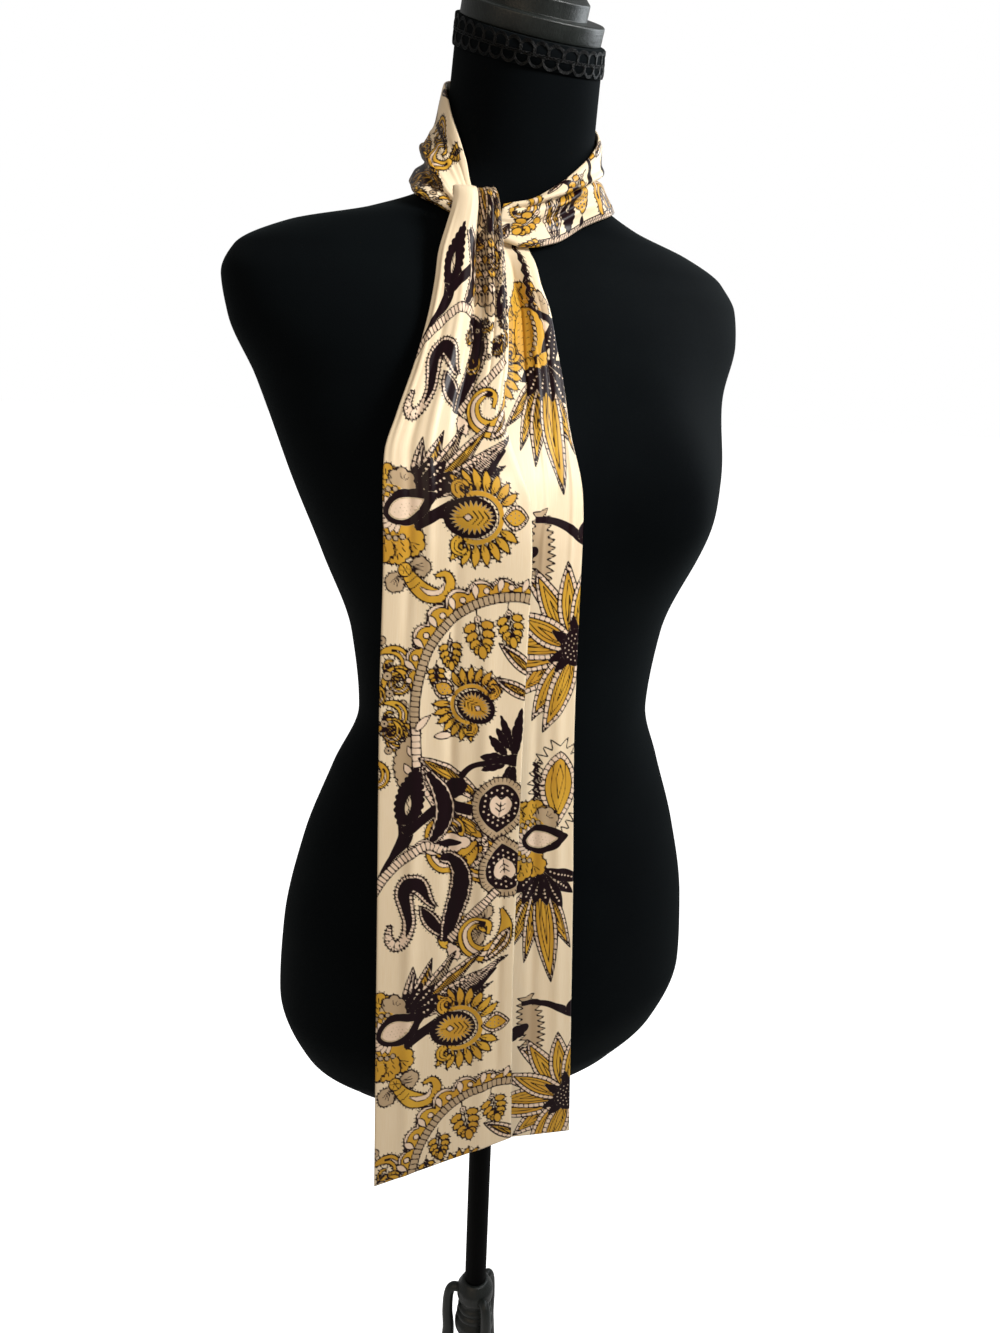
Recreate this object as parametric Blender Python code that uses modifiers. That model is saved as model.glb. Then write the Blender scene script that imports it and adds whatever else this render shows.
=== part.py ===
"""Neck scarf tied on a dress form that stands on a pole with three legs.

Metres, +Z up. The floor is z = 0 and the form faces -Y. Heights of the torso and of the scarf are
counted from the torso's lower rim, and their depths from the pole's axis.
"""

import math

import bmesh
import bpy
import numpy as np

# Driving sizes
GAP = 0.0004
RIM = 0.620
POLE_Y = 0.058
SCARF_WALL = 0.0016
SCARF_CLEAR = 0.0016
OVER_CLEAR = 0.0042
NECK_TILT = math.tan(math.radians(24.0))
NECK_TILT_FROM = 0.700
NECK_TOP = 0.782
SECTION_POWER = 2.2
TRIM_WIDTH = 0.018
TRIM_THICK = 0.0022
POLE_RADIUS = 0.010
HUB_TOP = 0.346
LEG_TURNS = (30.0, 150.0, 270.0)
LEG_RADIUS = 0.0085
PAD_OUT = 0.232
PAD_RADIUS = 0.011
PAD_HEIGHT = 0.006
TURN_STEPS = 28

# Neck cap, from its top: distance from its axis and height over its flat underside
CAP_PROFILE = (
    (0.0000, 0.0260),
    (0.0310, 0.0260),
    (0.0360, 0.0215),
    (0.0360, 0.0120),
    (0.0477, 0.0120),
    (0.0487, 0.0110),
    (0.0487, 0.0000),
    (0.0000, 0.0000),
)
# Hub, from its top: distance from its axis and height from its flat top
HUB_PROFILE = (
    (0.0000, 0.000),
    (0.0125, 0.000),
    (0.0170, -0.006),
    (0.0170, -0.018),
    (0.0140, -0.023),
    (0.0165, -0.027),
    (0.0165, -0.031),
    (0.0145, -0.034),
    (0.0185, -0.041),
    (0.0185, -0.050),
    (0.0150, -0.060),
    (0.0100, -0.068),
    (0.0100, -0.110),
    (0.0130, -0.118),
    (0.0090, -0.130),
    (0.0000, -0.134),
)
# Leg, from the hub's collar to the foot: distance out, height, share of its greatest thickness
LEG_ROUTE = (
    (0.0177, 0.3345, 0.45),
    (0.0215, 0.3341, 0.47),
    (0.0252, 0.3260, 0.50),
    (0.0264, 0.3050, 0.55),
    (0.0248, 0.2780, 0.65),
    (0.0300, 0.2350, 0.90),
    (0.0560, 0.1800, 1.05),
    (0.1020, 0.1250, 1.10),
    (0.1500, 0.0780, 1.05),
    (0.1900, 0.0420, 0.95),
    (0.2220, 0.0175, 0.90),
    (0.2400, 0.0141, 0.90),
)

# Torso: height, half width, half depth, centre's shift to the back
TORSO_ROWS = (
    (0.000, 0.138, 0.090, 0.002),
    (0.025, 0.163, 0.105, 0.001),
    (0.070, 0.178, 0.116, 0.000),
    (0.130, 0.174, 0.114, -0.001),
    (0.200, 0.158, 0.106, -0.003),
    (0.260, 0.136, 0.092, -0.008),
    (0.310, 0.117, 0.084, -0.016),
    (0.370, 0.123, 0.089, -0.018),
    (0.430, 0.145, 0.098, -0.020),
    (0.490, 0.167, 0.105, -0.013),
    (0.550, 0.184, 0.100, 0.007),
    (0.590, 0.201, 0.090, 0.013),
    (0.615, 0.204, 0.080, 0.018),
    (0.635, 0.194, 0.072, 0.023),
    (0.652, 0.160, 0.064, 0.024),
    (0.665, 0.106, 0.058, 0.018),
    (0.680, 0.067, 0.055, 0.010),
    (0.695, 0.0555, 0.0530, 0.0040),
    (0.712, 0.0520, 0.0520, -0.0010),
    (NECK_TOP, 0.0480, 0.0495, -0.0140),
)
TORSO_TURNS = np.radians(np.arange(0, 360, 10))
# Bust: distance from the middle, height, how far it stands out, half width, rise above and drop below
BUST_SIDE, BUST_HEIGHT, BUST_OUT = 0.080, 0.470, 0.032
BUST_WIDE, BUST_ABOVE, BUST_BELOW = 0.050, 0.080, 0.050

# Front tail, from its tuck behind the band, over the knot and down: distance along it, height, left x,
# left y, right x, right y and how far the folds stand (1 = gathered)
FRONT_TAIL_ROWS = (
    (0.008, 0.6680, -0.0665, -0.0430, -0.0390, -0.0440, 1.00),
    (0.015, 0.6730, -0.0680, -0.0465, -0.0405, -0.0485, 1.00),
    (0.022, 0.6700, -0.0690, -0.0510, -0.0420, -0.0550, 1.00),
    (0.032, 0.6610, -0.0710, -0.0535, -0.0420, -0.0600, 1.00),
    (0.045, 0.6480, -0.0755, -0.0550, -0.0420, -0.0640, 1.00),
    (0.061, 0.6320, -0.0820, -0.0590, -0.0430, -0.0710, 1.00),
    (0.081, 0.6130, -0.0880, -0.0680, -0.0460, -0.0820, 1.00),
    (0.101, 0.5940, -0.0950, -0.0770, -0.0490, -0.0930, 0.95),
    (0.135, 0.5620, -0.1095, -0.0915, -0.0555, -0.1120, 0.75),
    (0.170, 0.5300, -0.1255, -0.1030, -0.0620, -0.1280, 0.50),
    (0.195, 0.5070, -0.1355, -0.1105, -0.0585, -0.1385, 0.30),
    (0.224, 0.4800, -0.1385, -0.1170, -0.0530, -0.1480, 0.12),
    (0.264, 0.4400, -0.1390, -0.1200, -0.0525, -0.1520, 0.05),
    (0.354, 0.3500, -0.1410, -0.1200, -0.0535, -0.1520, 0.03),
    (0.504, 0.2000, -0.1418, -0.1200, -0.0535, -0.1520, 0.02),
    (0.684, 0.0200, -0.1430, -0.1200, -0.0490, -0.1520, 0.02),
)
# Slant of the front tail's cut end: how much lower its left corner hangs
FRONT_TAIL_SLANT = 0.036

# Back tail, from under the band down: the same columns
BACK_TAIL_ROWS = (
    (0.000, 0.6480, -0.0500, -0.0412, -0.0130, -0.0432, 0.10),
    (0.008, 0.6400, -0.0510, -0.0455, -0.0120, -0.0480, 0.15),
    (0.016, 0.6320, -0.0525, -0.0510, -0.0112, -0.0560, 0.50),
    (0.031, 0.6170, -0.0560, -0.0610, -0.0140, -0.0660, 1.00),
    (0.050, 0.5980, -0.0620, -0.0710, -0.0110, -0.0770, 0.95),
    (0.077, 0.5730, -0.0720, -0.0830, -0.0105, -0.0910, 0.80),
    (0.106, 0.5470, -0.0820, -0.0950, -0.0090, -0.1050, 0.60),
    (0.136, 0.5200, -0.0920, -0.1090, -0.0088, -0.1180, 0.35),
    (0.172, 0.4870, -0.0980, -0.1230, -0.0078, -0.1329, 0.15),
    (0.212, 0.4480, -0.0985, -0.1280, -0.0100, -0.1400, 0.06),
    (0.310, 0.3500, -0.0985, -0.1290, -0.0091, -0.1403, 0.03),
    (0.460, 0.2000, -0.0950, -0.1290, -0.0020, -0.1408, 0.02),
    (0.660, 0.0000, -0.0900, -0.1290, 0.0070, -0.1414, 0.02),
)
BACK_TAIL_SLANT = -0.010

# Cross-section of a gathered tail, left edge to right edge: share of the strip, share across, depth out
GATHER_ROWS = (
    (0.00, 0.00, 0.0005),
    (0.12, 0.10, 0.0040),
    (0.28, 0.30, 0.0060),
    (0.42, 0.50, 0.0040),
    (0.52, 0.61, -0.0020),
    (0.60, 0.68, 0.0020),
    (0.70, 0.78, 0.0070),
    (0.82, 0.92, 0.0075),
    (0.92, 1.00, 0.0030),
    (1.00, 0.95, -0.0030),
)

# Neck loop: turn in degrees from +X (270 is the front), height and stand-off of the lower edge, the same
# of the upper edge, and how far the rolls stand out
RIGHT_BAND_ROWS = (
    (244.0, 0.6440, 0.0055, 0.6660, 0.0045, 0.0030),
    (256.0, 0.6400, 0.0055, 0.6690, 0.0045, 0.0040),
    (275.0, 0.6450, 0.0030, 0.6800, 0.0015, 0.0050),
    (300.0, 0.6600, 0.0010, 0.6980, 0.0000, 0.0045),
    (330.0, 0.6740, 0.0020, 0.7200, 0.0000, 0.0035),
    (360.0, 0.6840, 0.0012, 0.7340, 0.0000, 0.0035),
    (400.0, 0.6880, 0.0000, 0.7440, 0.0000, 0.0035),
    (450.0, 0.6880, 0.0000, 0.7480, 0.0000, 0.0035),
)
LEFT_BAND_ROWS = (
    (90.0, 0.6880, 0.0000, 0.7480, 0.0000, 0.0035),
    (130.0, 0.6880, 0.0005, 0.7460, 0.0005, 0.0060),
    (160.0, 0.6860, 0.0020, 0.7420, 0.0005, 0.0085),
    (176.0, 0.6820, 0.0030, 0.7350, 0.0010, 0.0108),
    (196.0, 0.6740, 0.0025, 0.7160, 0.0020, 0.0110),
    (212.0, 0.6650, 0.0015, 0.6940, 0.0010, 0.0080),
    (224.0, 0.6580, 0.0000, 0.6750, 0.0000, 0.0040),
    (230.0, 0.6560, 0.0000, 0.6690, 0.0000, 0.0020),
)
# Section of the loop: share of the way round it, share of its height, share of the rolls' depth
BAND_SECTION = (
    (0.00, 0.14, -0.10),
    (0.10, 0.00, 0.20),
    (0.25, 0.10, 1.00),
    (0.38, 0.30, 0.95),
    (0.50, 0.47, 0.45),
    (0.62, 0.62, 0.95),
    (0.78, 0.86, 0.95),
    (0.92, 1.00, 0.30),
    (1.00, 0.90, 0.00),
)
# Section of its loose left stretch: a bunch of small rolls below, a smooth panel above
LOOSE_SECTION = (
    (0.00, 0.12, -0.10),
    (0.08, 0.00, 0.20),
    (0.17, 0.04, 0.80),
    (0.26, 0.16, 1.00),
    (0.34, 0.24, 0.60),
    (0.42, 0.31, 0.90),
    (0.52, 0.44, 1.30),
    (0.59, 0.51, 0.90),
    (0.70, 0.64, 0.55),
    (0.84, 0.86, 0.40),
    (0.94, 1.00, 0.20),
    (1.00, 0.93, 0.00),
)
# The loop turns from the plain section to the loose one between these turns, in degrees
LOOSE_FROM, LOOSE_TO = 100.0, 150.0
# The two bands meet at the nape, this many degrees short of its turn
NAPE_TURN, NAPE_GAP = 90.0, 0.2


def smooth_rows(rows, at, column):
    """A monotone cubic through the rows' first column and this one, read at the given places."""
    table = np.array(rows, float)
    order = np.argsort(table[:, 0])
    xs = table[order, 0]
    ys = table[order, column]
    at = np.clip(np.asarray(at, float), xs[0], xs[-1])
    step = np.diff(xs)
    slope = np.diff(ys) / step
    tangent = np.zeros_like(ys)
    near = 2 * step[1:] + step[:-1]
    far = step[1:] + 2 * step[:-1]
    same = slope[1:] * slope[:-1] > 0
    first = np.where(same, slope[:-1], 1.0)
    second = np.where(same, slope[1:], 1.0)
    tangent[1:-1] = np.where(same, (near + far) / (near / first + far / second), 0.0)
    tangent[0] = slope[0]
    tangent[-1] = slope[-1]
    i = np.clip(np.searchsorted(xs, at, side="right") - 1, 0, len(step) - 1)
    t = (at - xs[i]) / step[i]
    return (
        (2 * t**3 - 3 * t**2 + 1) * ys[i]
        + (t**3 - 2 * t**2 + t) * step[i] * tangent[i]
        + (3 * t**2 - 2 * t**3) * ys[i + 1]
        + (t**3 - t**2) * step[i] * tangent[i + 1]
    )


def stations(rows, steps):
    """Places along a table's first column, with each of its gaps cut into this many steps."""
    firsts = [row[0] for row in rows]
    last = len(firsts) - 1
    return np.interp(np.linspace(0, last, steps * last + 1), range(last + 1), firsts)


def softly_more(value, least, blend=0.002):
    """The larger of the two, rounded where they meet."""
    return 0.5 * (value + least + np.sqrt((value - least) ** 2 + blend**2))


def torso_section(height):
    """Half width, half depth and shift to the back at a height."""
    return [smooth_rows(TORSO_ROWS, height, column) for column in (1, 2, 3)]


def bust(x, height):
    """How far the bust stands out of the plain section."""
    rise = height - BUST_HEIGHT
    drop = np.where(rise > 0, rise / BUST_ABOVE, rise / BUST_BELOW)
    return BUST_OUT * np.exp(-(((np.abs(x) - BUST_SIDE) / BUST_WIDE) ** 2) - drop**2)


def neck_lean(height):
    """How steeply a section leans to the front: none below the neck, the cap's tilt at its top."""
    t = np.clip((height - NECK_TILT_FROM) / (NECK_TOP - NECK_TILT_FROM), 0, 1)
    return NECK_TILT * t * t * (3 - 2 * t)


def torso_point(turn, height, out=0.0):
    """A point of the torso's surface at a turn from +X and a height, moved out by a distance."""
    half_width, half_depth, shift = torso_section(height)
    cosine = np.cos(turn)
    sine = np.sin(turn)
    x = (half_width + out) * np.sign(cosine) * np.abs(cosine) ** (2 / SECTION_POWER)
    y = (half_depth + out) * np.sign(sine) * np.abs(sine) ** (2 / SECTION_POWER)
    z = height + neck_lean(height) * y
    y = shift + y - np.where(sine < 0, bust(x, height), 0)
    return np.stack([x, y, z], -1)


def torso_front(x, height):
    """The depth of the torso's front at a sideways place and a height."""
    half_width, half_depth, shift = torso_section(height)
    share = np.clip(1 - np.abs(x / half_width) ** SECTION_POWER, 0, None)
    return shift - half_depth * share ** (1 / SECTION_POWER) - bust(x, height)


def torso_reach(turn, height):
    """The distance from the section's centre to the surface, in the direction of a turn."""
    half_width, half_depth, _ = torso_section(height)
    wide = np.abs(np.cos(turn) / half_width) ** SECTION_POWER
    deep = np.abs(np.sin(turn) / half_depth) ** SECTION_POWER
    return (wide + deep) ** (-1 / SECTION_POWER)


def tail_points(rows, share, along, slant, clear):
    """Points of a tail: share runs across it, along runs down it, with the cut end's slant.

    Clear is the least distance of its middle layer from the torso.
    """
    height, left_x, left_y, right_x, right_y, gathered = (smooth_rows(rows, along, k) for k in range(1, 7))
    across = (1 - gathered) * share + gathered * smooth_rows(GATHER_ROWS, share, 1)
    out = gathered * smooth_rows(GATHER_ROWS, share, 2)
    x = left_x + (right_x - left_x) * across
    y = left_y + (right_y - left_y) * across - out
    y = -softly_more(-y, -torso_front(x, height) + clear)
    fall = np.clip(1 - (rows[-1][0] - along) / 0.25, 0, 1) ** 2
    return np.stack([x, y, height - slant * fall * (1 - share)], -1)


def band_points(rows, turn, share, loose):
    """Points of the loop round the neck: turn in degrees runs along it, share round its section.

    Loose, from 0 to 1, goes from the plain section to the loose one.
    """
    low, low_out, high, high_out, rolls = (smooth_rows(rows, turn, k) for k in range(1, 6))
    up = (1 - loose) * smooth_rows(BAND_SECTION, share, 1) + loose * smooth_rows(LOOSE_SECTION, share, 1)
    out = (1 - loose) * smooth_rows(BAND_SECTION, share, 2) + loose * smooth_rows(LOOSE_SECTION, share, 2)
    height = low + (high - low) * up
    angle = np.radians(turn)
    reach = torso_reach(angle, height) + SCARF_CLEAR + low_out + (high_out - low_out) * up + out * rolls
    depth = reach * np.sin(angle)
    shift = torso_section(height)[2]
    return np.stack([reach * np.cos(angle), shift + depth, height + neck_lean(height) * depth], -1)


def place(points):
    """From the torso's own heights and depths to the floor's."""
    return points + np.array([0.0, POLE_Y, RIM])


def material(name, colour, roughness, sheen=0.0, metallic=0.0):
    made = bpy.data.materials.new(name)
    made.use_nodes = True
    shader = made.node_tree.nodes["Principled BSDF"]
    shader.inputs["Base Color"].default_value = (*colour, 1.0)
    shader.inputs["Roughness"].default_value = roughness
    shader.inputs["Metallic"].default_value = metallic
    shader.inputs["Sheen Weight"].default_value = sheen
    made.diffuse_color = (*colour, 1.0)
    return made


def add_object(name, mesh, surface):
    made = bpy.data.objects.new(name, mesh)
    bpy.data.collections["neck_scarf"].objects.link(made)
    mesh.materials.append(surface)
    return made


def grid_mesh(name, points, closed=False, capped=False):
    """A mesh through a grid of points; closed joins each row's ends, capped fills the first and last row."""
    count, width = points.shape[:2]
    row = np.arange(count - 1)[:, None] * width
    column = np.arange(width if closed else width - 1)[None]
    after = (column + 1) % width
    faces = np.stack([row + column, row + after, row + width + after, row + width + column], -1)
    faces = faces.reshape(-1, 4).tolist()
    if capped:
        faces.append(list(range(width))[::-1])
        faces.append([(count - 1) * width + k for k in range(width)])
    mesh = bpy.data.meshes.new(name)
    mesh.from_pydata(points.reshape(-1, 3).tolist(), [], faces)
    shape = bmesh.new()
    shape.from_mesh(mesh)
    bmesh.ops.recalc_face_normals(shape, faces=shape.faces)
    shape.to_mesh(mesh)
    shape.free()
    mesh.polygons.foreach_set("use_smooth", [len(face.vertices) == 4 for face in mesh.polygons])
    return mesh


def cloth(name, points, surface, wall=SCARF_WALL):
    made = add_object(name, grid_mesh(name, points), surface)
    solid = made.modifiers.new("wall", "SOLIDIFY")
    solid.thickness = wall
    solid.offset = 0.0
    solid.use_even_offset = True
    return made


def turned(name, profile, surface, steps=TURN_STEPS):
    """A turned piece: its profile runs from the top of the axis down the outside to the bottom."""
    mesh = bpy.data.meshes.new(name)
    points = [(radius, 0.0, height) for radius, height in profile]
    mesh.from_pydata(points, [(k, k + 1) for k in range(len(points) - 1)], [])
    made = add_object(name, mesh, surface)
    screw = made.modifiers.new("turn", "SCREW")
    screw.steps = steps
    screw.render_steps = steps
    screw.use_merge_vertices = True
    screw.merge_threshold = 0.00005
    screw.use_smooth_shade = True
    return made


def torso(velvet):
    turn, height = np.meshgrid(TORSO_TURNS, stations(TORSO_ROWS, 3))
    add_object("form_torso", grid_mesh("form_torso", place(torso_point(turn, height)), True, True), velvet)


def neck_trim(braid):
    """The braid round the neck's top edge: the neck's own points, moved out."""
    outs = (GAP, TRIM_THICK, TRIM_THICK, GAP)
    drops = (0.0, 0.0, TRIM_WIDTH, TRIM_WIDTH)
    section = [torso_point(TORSO_TURNS, NECK_TOP - drop, out) for out, drop in zip(outs, drops)]
    points = np.stack(section, 1)
    points = np.concatenate([points, points[:1]])
    mesh = grid_mesh("form_neck_trim", place(points), True)
    shape = bmesh.new()
    shape.from_mesh(mesh)
    bmesh.ops.remove_doubles(shape, verts=shape.verts, dist=0.00005)
    bmesh.ops.recalc_face_normals(shape, faces=shape.faces)
    shape.to_mesh(mesh)
    shape.free()
    add_object("form_neck_trim", mesh, braid)


def neck_cap(wood):
    made = turned("form_neck_cap", CAP_PROFILE, wood)
    made.rotation_euler = (math.atan(NECK_TILT), 0.0, 0.0)
    middle = float(torso_section(NECK_TOP)[2])
    made.location = place(np.array([0.0, middle, NECK_TOP + GAP]))


def stand(steel, wood):
    bpy.ops.mesh.primitive_cylinder_add(vertices=32, radius=POLE_RADIUS, depth=RIM - HUB_TOP - 2 * GAP,
                                        location=(0.0, POLE_Y, (RIM + HUB_TOP) / 2))
    pole = bpy.context.active_object
    pole.name = "form_pole"
    pole.data.materials.append(steel)
    for holder in list(pole.users_collection):
        holder.objects.unlink(pole)
    bpy.data.collections["neck_scarf"].objects.link(pole)
    hub = turned("form_hub", HUB_PROFILE, wood)
    hub.location = (0.0, POLE_Y, HUB_TOP)


def foot_pad(name, turn, steel):
    """The flat pad that a leg stands on."""
    angle = math.radians(turn)
    centre = (PAD_OUT * math.cos(angle), POLE_Y + PAD_OUT * math.sin(angle), PAD_HEIGHT / 2)
    bpy.ops.mesh.primitive_cylinder_add(vertices=24, radius=PAD_RADIUS, depth=PAD_HEIGHT, location=centre)
    pad = bpy.context.active_object
    pad.name = name
    pad.data.materials.append(steel)
    for holder in list(pad.users_collection):
        holder.objects.unlink(pad)
    bpy.data.collections["neck_scarf"].objects.link(pad)


def leg(name, turn, wood):
    """One curved leg, as a bevelled curve in the upright plane of its turn."""
    curve = bpy.data.curves.new(name, "CURVE")
    curve.dimensions = "3D"
    curve.bevel_depth = LEG_RADIUS
    curve.bevel_resolution = 2
    curve.resolution_u = 3
    curve.use_fill_caps = True
    spline = curve.splines.new("BEZIER")
    spline.bezier_points.add(len(LEG_ROUTE) - 1)
    for point, (out, height, thick) in zip(spline.bezier_points, LEG_ROUTE):
        point.co = (out, 0.0, height)
        point.radius = thick
        point.handle_left_type = "AUTO"
        point.handle_right_type = "AUTO"
    made = bpy.data.objects.new(name, curve)
    bpy.data.collections["neck_scarf"].objects.link(made)
    curve.materials.append(wood)
    made.location = (0.0, POLE_Y, 0.0)
    made.rotation_euler = (0.0, 0.0, math.radians(turn))


def main():
    for old in list(bpy.data.objects):
        bpy.data.objects.remove(old, do_unlink=True)
    collection = bpy.data.collections.new("neck_scarf")
    bpy.context.scene.collection.children.link(collection)
    velvet = material("form_velvet", (0.012, 0.013, 0.014), 0.95, 0.4)
    braid = material("braid", (0.010, 0.010, 0.011), 0.8)
    wood = material("stained_wood", (0.045, 0.047, 0.045), 0.55)
    steel = material("black_steel", (0.012, 0.012, 0.012), 0.45)
    silk = material("scarf_satin", (0.80, 0.66, 0.44), 0.45, 0.2)

    torso(velvet)
    neck_trim(braid)
    neck_cap(wood)
    stand(steel, wood)
    for k, turn in enumerate(LEG_TURNS):
        leg(f"form_leg_{k + 1}", turn, wood)
        foot_pad(f"form_foot_pad_{k + 1}", turn, steel)

    share, along = np.meshgrid(np.linspace(0, 1, 19), stations(FRONT_TAIL_ROWS, 3))
    cloth("scarf_front_tail", place(tail_points(FRONT_TAIL_ROWS, share, along, FRONT_TAIL_SLANT, OVER_CLEAR)), silk)
    share, along = np.meshgrid(np.linspace(0, 1, 17), stations(BACK_TAIL_ROWS, 3))
    cloth("scarf_back_tail", place(tail_points(BACK_TAIL_ROWS, share, along, BACK_TAIL_SLANT, SCARF_CLEAR)), silk)
    turns = np.linspace(RIGHT_BAND_ROWS[0][0], NAPE_TURN + 360 - NAPE_GAP, 32)
    share, turn = np.meshgrid(np.linspace(0, 1, 15), turns)
    cloth("scarf_right_band", place(band_points(RIGHT_BAND_ROWS, turn, share, 0.0)), silk)
    turns = np.linspace(NAPE_TURN + NAPE_GAP, LEFT_BAND_ROWS[-1][0], 26)
    share, turn = np.meshgrid(np.linspace(0, 1, 21), turns)
    loose = np.clip((turn - LOOSE_FROM) / (LOOSE_TO - LOOSE_FROM), 0, 1)
    cloth("scarf_left_band", place(band_points(LEFT_BAND_ROWS, turn, share, loose)), silk)


if __name__ == "__main__":
    main()
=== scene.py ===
# %% [markdown]
# Neck scarf on a dress form. The scarf is a long narrow strip of satin, sewn double and turned, wound once
# round the neck and crossed below the throat. The frame of plain solids comes first, and every finer piece
# below stands where one of them stands.

# %% The frame
import math

import bmesh
import bpy
import numpy as np
from mathutils import Matrix, Vector


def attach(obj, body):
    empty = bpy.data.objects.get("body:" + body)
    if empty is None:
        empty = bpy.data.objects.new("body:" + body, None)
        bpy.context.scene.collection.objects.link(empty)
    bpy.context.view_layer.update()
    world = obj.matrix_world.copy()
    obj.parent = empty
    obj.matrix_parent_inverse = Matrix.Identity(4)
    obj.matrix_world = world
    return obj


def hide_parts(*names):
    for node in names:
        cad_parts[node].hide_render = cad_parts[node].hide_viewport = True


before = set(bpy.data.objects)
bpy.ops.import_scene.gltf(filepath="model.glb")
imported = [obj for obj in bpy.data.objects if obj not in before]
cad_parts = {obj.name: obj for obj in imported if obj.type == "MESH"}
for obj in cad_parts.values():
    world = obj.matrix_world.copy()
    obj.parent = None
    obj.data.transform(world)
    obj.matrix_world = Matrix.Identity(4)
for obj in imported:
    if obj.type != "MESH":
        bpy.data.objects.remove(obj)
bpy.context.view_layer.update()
print("nodes:", len(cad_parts))

# %% [markdown]
# The camera stands to the form's left as we see it, a little above the throat, and looks slightly down.
# A close view needs the true distance, because it makes the near tails look larger than the hips behind
# them. Its place was worked out from the torso's outline, so it is given as a turn, a pitch and a distance.

# %% Camera
RIM = 0.620
POLE_Y = 0.058
CAMERA_TURN = math.radians(26.0)
CAMERA_PITCH = math.radians(15.02)
CAMERA_ROLL = math.radians(2.15)
CAMERA_DISTANCE = 0.776
CAMERA_HEIGHT = RIM + 0.542
CAMERA_ASIDE = 0.0016
SENSOR_WIDTH = 36.0
FOCAL_SHARE = 1.001


def add_camera():
    """Looks along the turn and pitch from a point at its distance from the pole's axis."""
    ahead = Vector((
        math.sin(CAMERA_TURN) * math.cos(CAMERA_PITCH),
        math.cos(CAMERA_TURN) * math.cos(CAMERA_PITCH),
        -math.sin(CAMERA_PITCH),
    ))
    right = Vector((math.cos(CAMERA_TURN), -math.sin(CAMERA_TURN), 0.0))
    above = right.cross(ahead)
    place = Vector((
        -math.sin(CAMERA_TURN) * CAMERA_DISTANCE,
        POLE_Y - math.cos(CAMERA_TURN) * CAMERA_DISTANCE,
        CAMERA_HEIGHT,
    )) + right * CAMERA_ASIDE
    rolled_right = right * math.cos(CAMERA_ROLL) + above * math.sin(CAMERA_ROLL)
    rolled_above = above * math.cos(CAMERA_ROLL) - right * math.sin(CAMERA_ROLL)
    lens = bpy.data.cameras.new("camera")
    lens.sensor_fit = "HORIZONTAL"
    lens.sensor_width = SENSOR_WIDTH
    lens.lens = SENSOR_WIDTH * FOCAL_SHARE
    lens.clip_start = 0.05
    camera = bpy.data.objects.new("camera", lens)
    bpy.context.scene.collection.objects.link(camera)
    turned = Matrix((rolled_right, rolled_above, -ahead)).transposed().to_4x4()
    camera.matrix_world = Matrix.Translation(place) @ turned
    bpy.context.scene.camera = camera
    return camera


camera = add_camera()
print("camera at", [round(value, 3) for value in camera.matrix_world.translation])

# %% [markdown]
# A shop photograph of a black form on white has a bright, even surround, which is the world's colour here.
# Three square lights give the folds their shape: a small key with a narrow spread on the neck and the tops of
# the tails, a cool window light from the far side, and a broad warm fill from the front. The floor is plain
# and pale, and wide enough to meet the surround.

# %% Colours and nodes
# A Mix node's sockets for its factor, first and second colour, and the mixed colour it gives
FACTOR, FIRST, SECOND, MIXED = 0, 6, 7, 2


def srgb(code):
    """A hex colour as linear red, green, blue and alpha."""
    values = [int(code[k:k + 2], 16) / 255 for k in (0, 2, 4)]
    linear = [v / 12.92 if v <= 0.04045 else ((v + 0.055) / 1.055) ** 2.4 for v in values]
    return (*linear, 1.0)


def add_node(tree, kind, values=None, links=None, **settings):
    """Adds a node, sets its properties and its sockets' values, and links its inputs."""
    node = tree.nodes.new(kind)
    for name, value in settings.items():
        setattr(node, name, value)
    for socket, value in (values or {}).items():
        node.inputs[socket].default_value = value
    for socket, source in (links or {}).items():
        tree.links.new(source, node.inputs[socket])
    return node


def new_material(name, **values):
    """A material with a Principled shader, whose sockets take these values."""
    made = bpy.data.materials.new(name)
    made.use_nodes = True
    shader = made.node_tree.nodes["Principled BSDF"]
    for socket, value in values.items():
        shader.inputs[socket.replace("_", " ")].default_value = value
    return made, made.node_tree, shader


print("half grey is", round(srgb("808080")[0], 3), "in linear light")

# %% Surround, lights and floor
SHOWN_STRENGTH = 1.0
LIGHT_STRENGTH = 0.27
FLOOR_RADIUS = 60.0
# Name, place, aim, size, power in watts, colour, spread in degrees
LIGHTS = (
    ("key", (0.70, -0.95, 1.90), (-0.02, -0.08, 1.30), 0.50, 4.2, (1.0, 1.0, 0.99), 70.0),
    ("window", (1.5, 0.25, 1.75), (0.0, 0.05, 1.25), 0.8, 13.0, (0.90, 0.96, 1.0), 180.0),
    ("fill", (-1.5, -1.2, 1.7), (-0.05, -0.08, 1.05), 1.1, 9.0, (1.0, 0.78, 0.54), 180.0),
)


def add_surround():
    """A white world, brighter to the camera than it is as light."""
    world = bpy.data.worlds.new("surround")
    bpy.context.scene.world = world
    world.use_nodes = True
    tree = world.node_tree
    tree.nodes.clear()
    path = add_node(tree, "ShaderNodeLightPath")
    shown = add_node(tree, "ShaderNodeBackground", {"Color": (1, 1, 1, 1), "Strength": SHOWN_STRENGTH})
    lit = add_node(tree, "ShaderNodeBackground", {"Color": (1, 1, 1, 1), "Strength": LIGHT_STRENGTH})
    mixed = add_node(
        tree, "ShaderNodeMixShader", links={0: path.outputs["Is Camera Ray"], 1: lit.outputs[0], 2: shown.outputs[0]}
    )
    add_node(tree, "ShaderNodeOutputWorld", links={"Surface": mixed.outputs[0]})


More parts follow.
